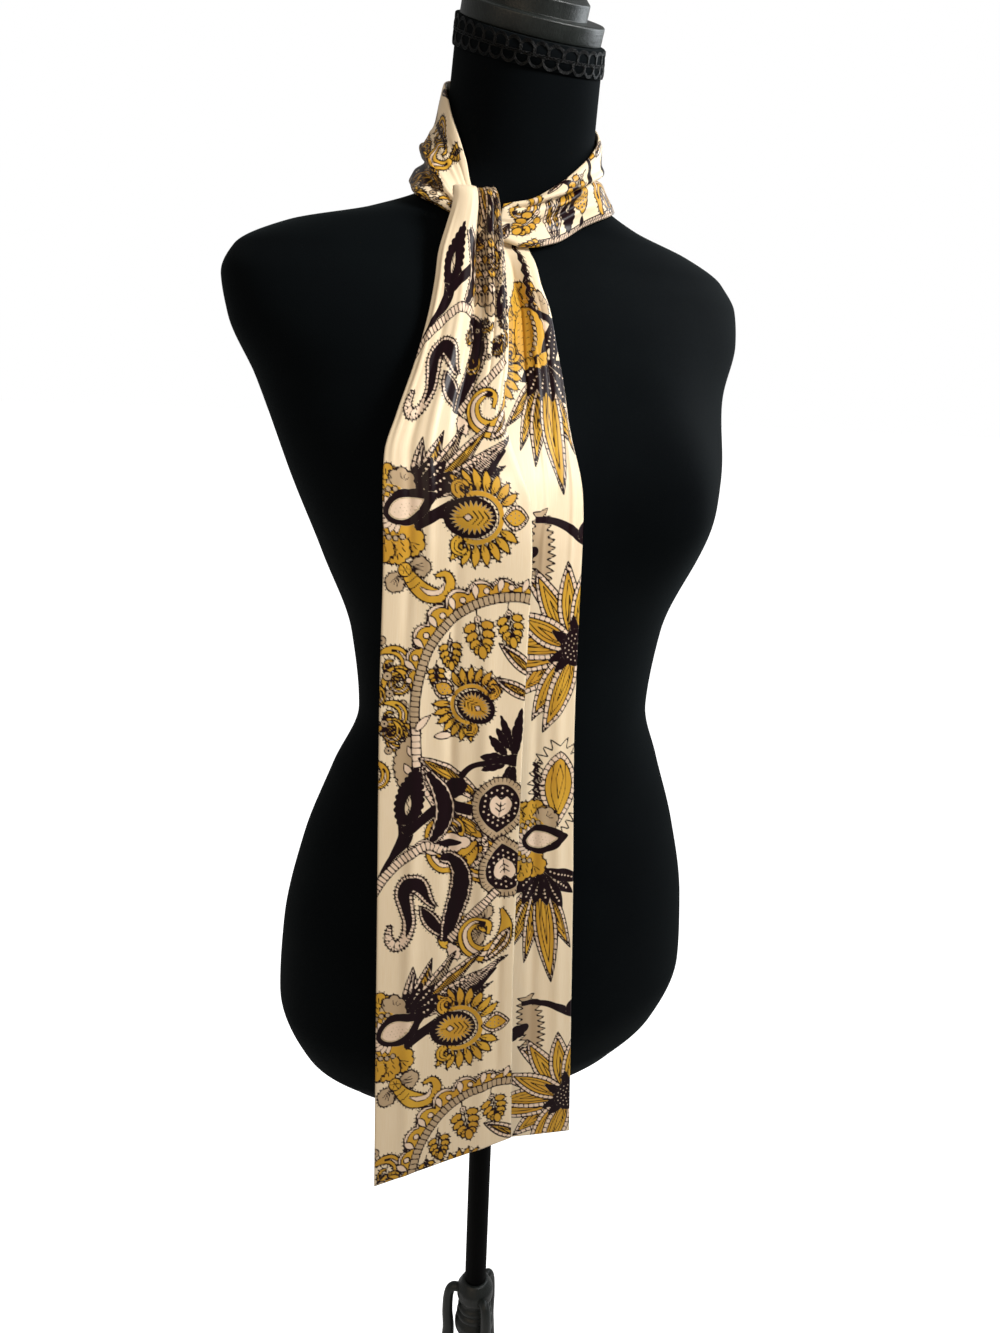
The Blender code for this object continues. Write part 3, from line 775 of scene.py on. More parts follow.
def shell_object(name, form, along, outer_count, inner_count):
    """A closed shell round a form(share, along): the outer skin goes out, the inner one comes back."""
    shares = np.concatenate([np.linspace(0, 1, outer_count), np.linspace(1, 0, inner_count + 2)[1:-1]])
    share, place_along = np.meshgrid(shares, along)
    fine = np.linspace(0, 1, FORM_SAMPLES)
    fine_share, fine_along = np.meshgrid(fine, along)
    points = form(fine_share, fine_along)
    normal = normals_of(points)
    side = np.where(np.arange(len(shares)) < outer_count, 1.0, -1.0)
    round_edge = (1 - np.abs(2 * share - 1) ** EDGE_POWER) ** 0.5
    end = np.minimum(place_along - along[0], along[-1] - place_along) / SHELL_HALF
    half = SHELL_HALF * side * round_edge * np.sqrt(np.clip(0.15 + end / 2, 0, 1))
    taken = [np.stack([np.interp(shares, fine, row[:, k]) for row in points]) for k in range(3)]
    facing = [np.stack([np.interp(shares, fine, row[:, k]) for row in normal]) for k in range(3)]
    solid = np.stack(taken, -1) + np.stack(facing, -1) * half[..., None]
    return grid_object(name, place(solid), closed=True, capped=True), shares


def front_form(share, along):
    """The front tail's middle surface: its table of sections, moved out along the normal by its creases."""
    points = tail_points(FRONT_TAIL_ROWS, share, along, FRONT_TAIL_SLANT, OVER_CLEAR)
    return points + normals_of(points) * creases(FRONT_CREASES, share, along)[..., None]


def back_form(share, along):
    """The back tail's middle surface, made as the front one's."""
    points = tail_points(BACK_TAIL_ROWS, share, along, BACK_TAIL_SLANT, SCARF_CLEAR)
    return points + normals_of(points) * creases(BACK_CREASES, share, along)[..., None]


front_along = np.linspace(FRONT_TAIL_ROWS[0][0], FRONT_TAIL_ROWS[-1][0], FRONT_RINGS)
front_tail, front_shares = shell_object("front_tail", front_form, front_along, TAIL_OUTER, TAIL_INNER)
back_along = np.linspace(BACK_TAIL_ROWS[0][0], BACK_TAIL_ROWS[-1][0], BACK_RINGS)
back_tail, back_shares = shell_object("back_tail", back_form, back_along, TAIL_OUTER, TAIL_INNER)
print("columns across a tail:", len(front_shares))

# %% [markdown]
# The loop round the neck is the same strip, folded lengthwise. On the viewer's right it is smooth, with one
# long crease. On the left it is loose and bunched, with a smooth panel above and small rolls below.

# %% Loop tables
# Turn from +X in degrees, height and stand-off of the lower edge, the same of the upper edge, rolls
RIGHT_BAND_ROWS = (
    (244.0, 0.6440, 0.0055, 0.6660, 0.0045, 0.0030),
    (256.0, 0.6400, 0.0055, 0.6690, 0.0045, 0.0040),
    (275.0, 0.6450, 0.0030, 0.6800, 0.0015, 0.0050),
    (300.0, 0.6600, 0.0010, 0.6980, 0.0000, 0.0045),
    (330.0, 0.6740, 0.0020, 0.7200, 0.0000, 0.0035),
    (360.0, 0.6840, 0.0012, 0.7340, 0.0000, 0.0035),
    (400.0, 0.6880, 0.0000, 0.7440, 0.0000, 0.0035),
    (450.0, 0.6880, 0.0000, 0.7480, 0.0000, 0.0035),
)
LEFT_BAND_ROWS = (
    (90.0, 0.6880, 0.0000, 0.7480, 0.0000, 0.0035),
    (130.0, 0.6880, 0.0005, 0.7460, 0.0005, 0.0060),
    (160.0, 0.6860, 0.0020, 0.7420, 0.0005, 0.0085),
    (176.0, 0.6820, 0.0030, 0.7350, 0.0010, 0.0108),
    (196.0, 0.6740, 0.0025, 0.7160, 0.0020, 0.0110),
    (212.0, 0.6650, 0.0015, 0.6940, 0.0010, 0.0080),
    (224.0, 0.6580, 0.0000, 0.6750, 0.0000, 0.0040),
    (230.0, 0.6560, 0.0000, 0.6690, 0.0000, 0.0020),
)
# Share of the way round the section, share of its height, share of the rolls' depth
BAND_SECTION = (
    (0.00, 0.14, -0.10), (0.10, 0.00, 0.20), (0.25, 0.10, 1.00), (0.38, 0.30, 0.95), (0.50, 0.47, 0.45),
    (0.62, 0.62, 0.95), (0.78, 0.86, 0.95), (0.92, 1.00, 0.30), (1.00, 0.90, 0.00),
)
LOOSE_SECTION = (
    (0.00, 0.12, -0.10), (0.08, 0.00, 0.20), (0.17, 0.04, 0.80), (0.26, 0.16, 1.00), (0.34, 0.24, 0.60),
    (0.42, 0.31, 0.90), (0.52, 0.44, 1.30), (0.59, 0.51, 0.90), (0.70, 0.64, 0.55), (0.84, 0.86, 0.40),
    (0.94, 1.00, 0.20), (1.00, 0.93, 0.00),
)
LOOSE_FROM, LOOSE_TO = 100.0, 150.0
NAPE_TURN, NAPE_GAP = 90.0, 0.2
RIGHT_OUTER, RIGHT_INNER, RIGHT_RINGS = 90, 24, 280
LEFT_OUTER, LEFT_INNER, LEFT_RINGS = 120, 30, 220


def torso_reach(turn, height):
    """The distance from the section's centre to the super-ellipse, in the direction of a turn."""
    half_width, half_depth, _ = torso_section(height)
    wide = np.abs(np.cos(turn) / half_width) ** SECTION_POWER
    deep = np.abs(np.sin(turn) / half_depth) ** SECTION_POWER
    return (wide + deep) ** (-1 / SECTION_POWER)


def band_points(rows, turn, share, loose):
    """The neck's reach, plus the stand-off and the rolls, at a height between the band's edges."""
    low, low_out, high, high_out, rolls = (smooth_rows(rows, turn, k) for k in range(1, 6))
    up = (1 - loose) * smooth_rows(BAND_SECTION, share, 1) + loose * smooth_rows(LOOSE_SECTION, share, 1)
    out = (1 - loose) * smooth_rows(BAND_SECTION, share, 2) + loose * smooth_rows(LOOSE_SECTION, share, 2)
    height = low + (high - low) * up
    angle = np.radians(turn)
    reach = torso_reach(angle, height) + SCARF_CLEAR + low_out + (high_out - low_out) * up + out * rolls
    depth = reach * np.sin(angle)
    shift = torso_section(height)[2]
    return np.stack([reach * np.cos(angle), shift + depth, height + neck_lean(height) * depth], -1)


# Creases: share at the first and last turn, from and to in degrees, half width and depth out
RIGHT_CREASES = (
    (0.83, 0.38, 246.0, 356.0, 0.034, -0.0046),
    (0.90, 0.45, 246.0, 356.0, 0.040, 0.0030),
    (0.52, 0.30, 236.0, 330.0, 0.045, 0.0010),
    (0.80, 0.74, 240.0, 300.0, 0.040, -0.0009),
    (0.22, 0.16, 250.0, 340.0, 0.040, -0.0008),
    (0.60, 0.50, 330.0, 440.0, 0.035, -0.0014),
)
LEFT_CREASES = (
    (0.16, 0.14, 110.0, 228.0, 0.020, -0.0012),
    (0.36, 0.40, 104.0, 226.0, 0.022, -0.0016),
    (0.57, 0.52, 120.0, 222.0, 0.022, -0.0016),
    (0.62, 0.70, 150.0, 226.0, 0.030, 0.0010),
    (0.76, 0.84, 176.0, 229.0, 0.026, -0.0008),
)


def right_form(share, turn):
    """The right half of the loop: its table of sections, moved out along the normal by its creases."""
    points = band_points(RIGHT_BAND_ROWS, turn, share, 0.0)
    return points + normals_of(points) * creases(RIGHT_CREASES, share, turn)[..., None]


def left_form(share, turn):
    """The left half of the loop, whose section goes over from the smooth to the loose one."""
    loose = np.clip((turn - LOOSE_FROM) / (LOOSE_TO - LOOSE_FROM), 0, 1)
    points = band_points(LEFT_BAND_ROWS, turn, share, loose)
    return points + normals_of(points) * creases(LEFT_CREASES, share, turn)[..., None]


right_turns = np.linspace(RIGHT_BAND_ROWS[0][0], NAPE_TURN + 360 - NAPE_GAP, RIGHT_RINGS)
left_turns = np.linspace(NAPE_TURN + NAPE_GAP, LEFT_BAND_ROWS[-1][0], LEFT_RINGS)
right_band, right_shares = shell_object("right_band", right_form, right_turns, RIGHT_OUTER, RIGHT_INNER)
left_band, left_shares = shell_object("left_band", left_form, left_turns, LEFT_OUTER, LEFT_INNER)
print("the loop's halves go from", right_turns[0], "and", left_turns[-1], "degrees to the nape")

# %% [markdown]
# The satin is screen printed: flat inks laid one over another, with a fine dark outline drawn over the edges.
# The drawing is done here on the flat cloth, in millimetres. For each ink a grid holds the distance to the
# nearest edge of its shapes, negative inside, so an edge stays sharp between the grid's points. A shape that
# is laid over others cuts them back first, as a painter would.

# %% Drawing on cloth
INKS = ("ink", "gold", "mauve", "light")
FAR = 9.0
INK_LINE = 1.0
FINE_LINE = 0.8
RUNG = 0.85
MARGIN = 2.5


def new_cloth(us, vs):
    """For each ink, the distance in millimetres to the nearest edge of its shapes, negative inside them."""
    return {"us": us, "vs": vs, **{name: np.full((len(vs), len(us)), FAR) for name in INKS}}


def window(cloth, points, margin=MARGIN):
    """The rows and columns of the grid under some points, and their coordinates."""
    low = points.min(0) - margin
    high = points.max(0) + margin
    cols = slice(*np.searchsorted(cloth["us"], (low[0], high[0])))
    rows = slice(*np.searchsorted(cloth["vs"], (low[1], high[1])))
    return (rows, cols, *np.meshgrid(cloth["us"][cols], cloth["vs"][rows]))


def to_segments(u, v, starts, ends, halves=0.0):
    """The distance to the nearest of some straight stretches, less its half width."""
    way = ends - starts
    du = u[..., None] - starts[:, 0]
    dv = v[..., None] - starts[:, 1]
    t = np.clip((du * way[:, 0] + dv * way[:, 1]) / np.maximum((way**2).sum(1), 1e-9), 0, 1)
    return (np.hypot(du - t * way[:, 0], dv - t * way[:, 1]) - halves).min(-1)


def to_loop(u, v, loop):
    """The distance to a closed loop, negative where a ray to the side crosses it an odd number of times."""
    after = np.roll(loop, -1, axis=0)
    gap = to_segments(u, v, loop, after)
    rise = np.where(after[:, 1] == loop[:, 1], 1e-9, after[:, 1] - loop[:, 1])
    crosses = (loop[:, 1] > v[..., None]) != (after[:, 1] > v[..., None])
    at = loop[:, 0] + (v[..., None] - loop[:, 1]) * (after[:, 0] - loop[:, 0]) / rise
    inside = (crosses & (u[..., None] < at)).sum(-1) % 2 == 1
    return np.where(inside, -gap, gap)


def lay(cloth, rows, cols, edge, ink, line):
    """Lays a shape over what is there: every ink is cut back to its edge, its own ink fills it."""
    for name in INKS:
        below = np.maximum(cloth[name][rows, cols], -edge)
        cloth[name][rows, cols] = np.minimum(below, edge) if name == ink else below
    if line:
        cloth["ink"][rows, cols] = np.minimum(cloth["ink"][rows, cols], np.abs(edge) - line / 2)


def strokes(cloth, starts, ends, width=RUNG):
    """Straight dark strokes of one width."""
    rows, cols, u, v = window(cloth, np.concatenate([starts, ends]))
    if u.size:
        field = to_segments(u, v, starts, ends, width / 2)
        cloth["ink"][rows, cols] = np.minimum(cloth["ink"][rows, cols], field)


print("inks, from the top one down:", INKS)


# %% Spots
def moved(spot, points):
    """Points turned, sized and moved to a spot of across, along, turn in degrees and size."""
    across, along, turn, size = spot
    points = np.asarray(points, float) * size
    c, s = np.cos(np.radians(turn)), np.sin(np.radians(turn))
    return np.stack([across + points[:, 0] * c - points[:, 1] * s, along + points[:, 0] * s + points[:, 1] * c], -1)


def branch(spot, at, turn, size=1.0):
    """A spot that is given in another spot's own directions."""
    across, along = moved(spot, [at])[0]
    return across, along, spot[2] + turn, spot[3] * size


def draw(cloth, spot, points, width=FINE_LINE):
    """A dark line through points at a spot."""
    line = moved(spot, points)
    strokes(cloth, line[:-1], line[1:], width)


def dots(cloth, spot, centres, radius, ink, line=0.0):
    """Round dots at a spot: the distance to the nearest centre, less the radius."""
    centres = moved(spot, centres)
    rows, cols, u, v = window(cloth, centres, radius + MARGIN)
    if u.size:
        lay(cloth, rows, cols, to_segments(u, v, centres, centres + 1e-4, radius), ink, line)


def spaced(line, pitch, closed=False):
    """Stations at a pitch along a line, with the direction to its left as it runs."""
    if closed:
        line = np.concatenate([line, line[:1]])
    run = np.concatenate([[0], np.cumsum(np.hypot(*np.diff(line, axis=0).T))])
    count = max(2, int(round(run[-1] / pitch)) + 1)
    at = np.linspace(0, run[-1], count)
    points = np.stack([np.interp(at, run, line[:, k]) for k in (0, 1)], -1)
    slope = np.gradient(points, axis=0)
    if closed:
        slope[0] = slope[-1] = points[1] - points[-2]
    slope /= np.maximum(np.hypot(*slope.T), 1e-9)[:, None]
    aside = np.stack([slope[:, 1], -slope[:, 0]], -1)
    if closed:
        points, aside = points[:-1], aside[:-1]
    return points, aside


def outward(loop):
    """1 where the left of a loop is its outside, else -1, from the sign of its area."""
    after = np.roll(loop, -1, axis=0)
    return 1.0 if (loop[:, 0] * after[:, 1] - after[:, 0] * loop[:, 1]).sum() > 0 else -1.0


def fringe(cloth, loop, pitch, length):
    """Hairs round a closed loop, outwards, or inwards with a negative length."""
    points, aside = spaced(loop, pitch, closed=True)
    strokes(cloth, points, points + aside * outward(loop) * length, FINE_LINE)


def paint(cloth, loop, ink=None, line=INK_LINE, hairs=None, rungs=None):
    """Fills a loop with an ink, or bare ground, and outlines it. Hairs stand out of it and rungs into it."""
    if hairs:
        fringe(cloth, loop, *hairs)
    rows, cols, u, v = window(cloth, loop)
    if u.size:
        lay(cloth, rows, cols, to_loop(u, v, loop), ink, line)
    if rungs:
        fringe(cloth, loop, rungs[0], -rungs[1])


def put(cloth, spot, loop, *looks, **edges):
    """Paints a loop at a spot."""
    paint(cloth, moved(spot, loop), *looks, **edges)


print("a spot 10 mm beside another:", branch((50, 100, 90, 1.0), (10, 0), 0)[:2])


# %% Loops
def lobed(loop, pitch, depth, sharp=False):
    """A loop with round lobes, or sharp teeth, that stand out of it at a pitch."""
    points, aside = spaced(loop, 0.8, closed=True)
    count = max(3, int(round(len(points) * 0.8 / pitch)))
    phase = np.arange(len(points)) / len(points) * count
    out = 1 - np.abs(2 * (phase % 1) - 1) if sharp else np.abs(np.sin(np.pi * phase)) ** 0.6
    return points + aside * outward(loop) * depth * out[:, None]


def ribbon(line, width):
    """A closed loop round a line, as wide as the number, or numbers along it, say."""
    points, aside = spaced(line, 2.0)
    half = np.interp(np.linspace(0, 1, len(points)), np.linspace(0, 1, np.size(width)), np.atleast_1d(width)) / 2
    return np.concatenate([points + aside * half[:, None], (points - aside * half[:, None])[::-1]])


def petal(length, width, bend=0.0, full=0.85, count=22):
    """A petal along +u: its half width is a sine, and its middle bends aside as the square of its length."""
    t = np.linspace(0, 1, count)
    half = width / 2 * np.sin(np.pi * t**full) ** 0.9
    spine = np.stack([length * t, bend * t**2], -1)
    slope = np.gradient(spine, axis=0)
    slope /= np.hypot(*slope.T)[:, None]
    aside = np.stack([slope[:, 1], -slope[:, 0]], -1) * half[:, None]
    return np.concatenate([spine + aside, (spine - aside)[-2:0:-1]])


def oval(wide, high, at=(0.0, 0.0), count=26):
    """An ellipse as wide and high as said, round a point."""
    angle = round_turns(count)
    return np.stack([wide / 2 * np.cos(angle), high / 2 * np.sin(angle)], -1) + at


def sweep(cloth, spot, points, count, widths, ink="ink", line=0, **edges):
    """A ribbon along a smooth curve through a few points, its widths in millimetres of the cloth."""
    paint(cloth, ribbon(moved(spot, through(points, count)), widths), ink, line, **edges)


def staggered(across, along, shift):
    """The points of a grid whose every other row is shifted."""
    across, along = np.meshgrid(across, along)
    across = across + np.where(np.arange(len(along))[:, None] % 2, shift, 0)
    return np.stack([across.ravel(), along.ravel()], -1)


print("a petal of 40 mm has", len(petal(40, 11)), "points")

# %% [markdown]
# The motifs are the common ones of Indian and Jacobean printed florals. Each is built from petals, ovals and
# swept ribbons by formula. Every number in them is in millimetres on the cloth, or a turn in degrees from the
# way across it. Hairs and outlines are about a millimetre thick, a little coarser than the real ones, to show.

# %% Leaves
# A leaf broader than this, in millimetres, has side veins
BROAD = 9.5


def ladder_leaf(cloth, spot, length=40, width=11, bend=0.0, ink="gold", border=3.0):
    """A pointed petal with a border that is crossed by rungs, and veins."""
    put(cloth, spot, petal(length, width, bend), "light", rungs=(4.2, border * spot[3]))
    inner = petal(length - 2.8 * border, max(width - 2 * border, 1.8), bend * 0.75) + (border * 1.2, 0.0)
    put(cloth, spot, inner, ink)
    for side in (-1, 1):
        draw(cloth, spot, [[border * 2.4, 0.0], [length * 0.34, side * width * 0.10], [length * 0.62, bend * 0.4]])
        if width > BROAD:
            vein = [[length * 0.16, side * width * 0.15], [length * 0.5, side * width * 0.19 + bend * 0.25],
                    [length * 0.8, bend * 0.64]]
            draw(cloth, spot, through(vein, 12))


def ladder_stem(cloth, spot, line, width, ink="mauve", pitch=4.4):
    """A band along a line, crossed by rungs."""
    line = moved(spot, line)
    paint(cloth, ribbon(line, width), ink)
    points, aside = spaced(line, pitch)
    strokes(cloth, points + aside * width / 2, points - aside * width / 2)


def dark_leaf(cloth, spot):
    """A solid leaf with a lobed edge, and a spine in a bare slit."""
    put(cloth, spot, lobed(petal(44, 16, 3), 4.6, 2.2), "ink", 0)
    slit = branch(spot, (11, 0), 2)
    put(cloth, slit, petal(15, 3.8), None, 0)
    draw(cloth, slit, [[2, 0], [6, 1.1], [8, -0.9], [13, 0.3]])


def berry_leaf(cloth, spot):
    """Round lobes in pairs along a midrib, with hairs at their ends and a ring at the base."""
    for x, reach, turn, size in ((5, 6.2, 68, 8.6), (10.5, 6.2, 62, 8.6), (15.5, 5.2, 54, 7.6), (19.5, 4.0, 40, 6.4)):
        for side in (-1, 1):
            put(cloth, branch(spot, (x, 0), side * turn), oval(size, 5.8, (reach, 0)), "gold", hairs=(2.4, 1.4))
    put(cloth, branch(spot, (19, 0), 0), oval(9, 5.6, (5.5, 0)), "gold", hairs=(2.4, 1.4))
    draw(cloth, spot, [[-5, -1], [-2, 0], [20, 0]], INK_LINE)
    dots(cloth, spot, [[2.5, 0]], 2.2 * spot[3], "light", 0.9)
    dots(cloth, spot, [[2.5, 0]], 0.7, "ink")


def zigzag_leaf(cloth, spot):
    """A leaf with long sharp teeth round a gold blade with a rung border."""
    put(cloth, spot, lobed(petal(48, 25, 4), 4.4, 6.5, sharp=True))
    ladder_leaf(cloth, branch(spot, (3, 0), 2), 43, 22, 3)


def comma(cloth, spot):
    """A narrow gold comma with a rung border."""
    ladder_leaf(cloth, spot, 30, 9, 9)


def feather(cloth, spot, length, width, beads, bend=0.0, radius=0.8):
    """A dark petal with pale dots along it, which bend with it."""
    put(cloth, spot, petal(length, width, bend, full=1.1), "ink", 0)
    dots(cloth, spot, np.stack([beads, 0.0005 * bend * beads**2], -1), radius, "light")


def flame(cloth, spot):
    """A thistle of dark flames that rise, lean aside and drop, on a stem to one side."""
    for across, along, turn, length, width, bend in (
        (0, 0, -88, 36, 7, 3), (-2, -6, -104, 26, 5, -2), (-4, -8, -122, 17, 4.5, 0), (-6, 0, -160, 17, 6, -3),
        (-6, 3, 176, 16, 5, -2), (-5, -4, -142, 18, 5.5, 3), (-2, 4, 112, 15, 4.5, 0), (0, 4, 94, 19, 5.5, 2),
    ):
        put(cloth, branch(spot, (across, along), turn), lobed(petal(length, width, bend), 6.0, 0.7), "ink", 0)
    sweep(cloth, spot, [[2, 0], [-12, 0], [-28, 4], [-36, 12]], 12, [9, 4.2, 3.6, 4.6])
    put(cloth, branch(spot, (-40, 20), -35), lobed(oval(19, 12), 6.0, 0.8), "ink", 0)


print("leaves: ladder, dark, berry, zigzag, comma, feather and flame")

# %% [markdown]
# The flowers and fruits are wheels: parts of one kind set round a middle at even turns, largest first, so that
# the next ones lie over their feet. Each wheel is a loop over turns.

# %% Flowers and fruits
SUNFLOWER_TURNS = (232, 150, 168, 254, 186, 204, 276, 128, 108)


def sunflower(cloth, spot):
    """Long rung-edged petals round a dark eye with rings of pale dots."""
    for number, turn in enumerate(SUNFLOWER_TURNS):
        length, bend = (46, 40, 48, 43)[number % 4], (5, -4, 3)[number % 3]
        ladder_leaf(cloth, branch(spot, (0, 0), turn), length, 14.0, bend, "gold", 2.5)
    for turn in SUNFLOWER_TURNS[1::2]:
        put(cloth, branch(spot, (0, 0), turn + 8), petal(17, 6), "ink", 0)
    put(cloth, spot, oval(17, 19), "ink", 0)
    for radius, count in ((6.6, 16), (4.4, 11), (2.2, 6)):
        dots(cloth, spot, oval(2 * radius, 2 * radius, count=count), 0.62, "light")


def pomegranate(cloth, spot):
    """A spiky seed in a horseshoe of hooked fingers, with a dotted lemon at the closed side."""
    for angle in np.linspace(-122, 122, 17):
        if abs(angle) < 20:
            continue
        way = np.radians(angle)
        side = np.sign(angle)
        at = branch(spot, (12.0 * np.cos(way), 12.0 * np.sin(way)), angle - side * 16)
        put(cloth, at, petal(12.0, 4.4, 3.0 * side, full=1.1), "gold", hairs=(2.4, 1.5))
        draw(cloth, at, [[2, 0], [5, 0.75 * side]], 0.7)
    arc = np.radians(np.linspace(-126, 126, 40))
    rim = np.stack([11.8 * np.cos(arc), 11.8 * np.sin(arc)], -1)
    paint(cloth, ribbon(moved(spot, rim), 2.4 * spot[3]), "gold", 0)
    draw(cloth, spot, rim * 0.87, 0.9)
    for side in (-1, 1):
        hook = np.array([[-6.8, 9.6], [-10.0, 11.8], [-10.2, 15.6], [-6.4, 17.2], [-4.2, 14.8]]) * (1, side)
        widths = np.array([3.8, 4.4, 4.0, 3.0, 1.8]) * spot[3]
        sweep(cloth, spot, hook, 20, widths, "gold", INK_LINE, hairs=(2.4, 1.3))
        draw(cloth, spot, through(hook, 20)[4:15])
    lemon = branch(spot, (12.0, 0), 0)
    put(cloth, lemon, petal(16, 12, full=1.0), "light", rungs=(3.2, 2.2))
    put(cloth, branch(lemon, (1.6, 0), 0), petal(12.6, 8.0, full=1.0), "gold")
    pips = [[5, -1.2], [5, 1.4], [7.4, 0], [7.6, -2.2], [7.6, 2.2], [9.8, -1.0], [9.8, 1.2]]
    dots(cloth, lemon, pips, 0.6, "ink")
    seed = branch(spot, (-3.5, 0.0), 0)
    put(cloth, seed, oval(25, 20), "ink", 0, hairs=(2.6, 1.3))
    angle = round_turns(216)
    spike = 1 - np.abs(2 * ((angle / (2 * np.pi) * 24) % 1) - 1)
    star = np.stack([(6.6 + 4.6 * spike) * np.cos(angle) + 1.0, (4.6 + 4.2 * spike) * np.sin(angle)], -1)
    put(cloth, seed, star, "gold", 0)
    for x in (3.4, 6.0, 8.6):
        draw(cloth, seed, [[x - 2.6, -3.2], [x, 0], [x - 2.6, 3.2]], 0.9)
    put(cloth, seed, [[-3.6, 0], [-1.4, -1.9], [1.0, 0], [-1.4, 1.9]], "light", 0.9)
    draw(cloth, seed, [[-6.5, 0], [-3.6, 0]])


def peony(cloth, spot):
    """Lobed clouds round a fan of flutes and beads, and a dark ring with a pale dotted heart."""
    lobes = np.radians(np.linspace(56, 304, 9))
    centres = np.stack([14.0 * np.cos(lobes) - 2, 16.5 * np.sin(lobes)], -1)
    inks = ["gold"] * 8 + ["mauve"]
    for lobe, centre, ink in zip(lobes, centres, inks):
        put(cloth, spot, lobed(oval(12.5, 12.5, centre), 5.6, 1.2), ink, hairs=(3.0, 1.3))
        for way in lobe + np.radians([-30, 0, 30]):
            draw(cloth, spot, centre + np.stack([np.cos(way), np.sin(way)]) * np.array([[2.2], [4.6]]))
    put(cloth, spot, oval(25, 28, (-2, 0)), "gold", 0)
    for radius, count in ((14.6, 13), (12.0, 11)):
        angle = np.radians(np.linspace(84, 276, count))
        inner = np.stack([radius * np.cos(angle), radius * 1.1 * np.sin(angle)], -1)
        outer = inner * (radius + 1.9) / radius + np.stack([np.sin(angle), -np.cos(angle)], -1)
        strokes(cloth, moved(spot, inner), moved(spot, outer), FINE_LINE)
    beads = np.radians(np.linspace(76, 284, 12))
    dots(cloth, spot, np.stack([10.0 * np.cos(beads), 11.4 * np.sin(beads)], -1), 1.35 * spot[3], "mauve", 0.9)
    for turn in np.linspace(96, 264, 9):
        put(cloth, branch(spot, (1, 0), turn), petal(9.6, 3.6, full=1.3), "light", FINE_LINE)
    put(cloth, branch(spot, (-5, 0), -8), lobed(petal(27, 16, -3, full=0.8), 9.0, 0.6), "ink", 0)
    put(cloth, branch(spot, (-2.6, -0.2), -8), petal(18.5, 10, -2, full=0.75), "mauve", 0)
    put(cloth, branch(spot, (-1.8, -0.3), -8), petal(16.6, 8.6, -2, full=0.75), "light", 0)
    grid = staggered(np.arange(0.6, 13, 1.9), np.arange(-3.6, 2.4, 1.6), 0.95)
    grid = grid[np.abs(grid[:, 1] + 1.0) < 3.0 * np.sin(np.pi * (grid[:, 0] + 1.4) / 16)]
    dots(cloth, spot, grid, 0.5, "mauve")


def plume(cloth, spot):
    """A fan of long rung leaves over dark dotted feathers, with a dark stem below."""
    for turn, length, width, bend, ink in (
        (-44, 40, 10, -5, "light"), (-30, 48, 10, -5, "gold"), (-18, 60, 10, -5, "mauve"),
        (-7, 74, 10, -6, "gold"), (3, 84, 10, -4, "light"), (12, 66, 8, -2, "mauve"),
    ):
        ladder_leaf(cloth, branch(spot, (4, 0), turn), length, width, bend, ink, 2.4)
    for turn, length in ((-44, 26), (-30, 34), (-17, 38), (-5, 36), (6, 30)):
        feather(cloth, branch(spot, (0, 0), turn), length, 9.5, np.arange(7, length - 5, 3.0))
    beads = np.arange(30, 62, 3.4)
    dots(cloth, branch(spot, (4, 0), -2), np.stack([beads, 0.03 * beads], -1), 1.2, "light", FINE_LINE)
    sweep(cloth, spot, [[-10, 12], [8, 14], [34, 13], [58, 8], [76, 4]], 20, [8, 7, 6, 4, 2])


def petals_down(cloth, spot):
    """Dark feathers over long rung petals that hang like a tail."""
    for turn, length, width, bend in ((128, 52, 12, 3), (112, 60, 13, 3), (70, 62, 13, -3), (99, 66, 13, 2),
                                      (84, 84, 17, 0)):
        ladder_leaf(cloth, branch(spot, (0, 0), turn), length, width, bend, "gold", 2.4)
    for turn, length in ((40, 34), (62, 36), (80, 30), (98, 28), (118, 30), (20, 36), (140, 26)):
        feather(cloth, branch(spot, (0, -8), turn), length, 10, np.arange(8, length - 6, 3.0))


def feathers(cloth, spot):
    """Dark feathers that lean to one side."""
    for turn, length in ((52, 30), (118, 34), (66, 36), (102, 40), (82, 42)):
        feather(cloth, branch(spot, (0, 0), turn), length, 9, np.arange(9, length - 6, 3.2), 4.0, 0.7)


def pod(cloth, spot):
    """A gold pod full of dark dots, on a short dark stem."""
    shape = petal(22, 15, full=1.1)
    put(cloth, spot, lobed(shape, 4.0, 0.5), "gold")
    grid = staggered(np.arange(4, 19, 3.0), np.arange(-5.4, 6, 2.7), 1.5)
    dots(cloth, spot, grid[to_loop(grid[:, 0], grid[:, 1], shape) < -1.4], 0.8, "ink")
    put(cloth, branch(spot, (-1, 0), 180), petal(11, 4), "ink", 0)


print("flowers and fruits: sunflower, pomegranate, peony, plume, tail petals, feathers and pod")

# %% [markdown]
# A paisley is a drop whose tip curls over. The scrolls, stems and bands are ribbons: a smooth curve through a
# few points, with a width that swells and narrows along it.

# %% Paisleys
BOTEH = ((0, 0), (5, -7), (13, -12.5), (23, -12), (30, -4.5), (29.5, 5), (22, 11.5), (12, 11), (5, 6), (1.5, 2), (0, 0))
HEART = ((9, 0), (13, -5.6), (19.5, -7.2), (23.6, -3.6), (21.4, 0), (23.6, 3.6), (19.5, 7.2), (13, 5.6), (9, 0))
CURL = ((0, 0), (6, -7), (15, -10), (24, -6), (26, 3), (20, 9.5), (12, 8), (10, 1.5), (15, -1))


def boteh(size):
    """The curled drop of a paisley, sized about its middle."""
    return (through(BOTEH, 60)[:-1] - (17, 0)) * size + (17, 0)


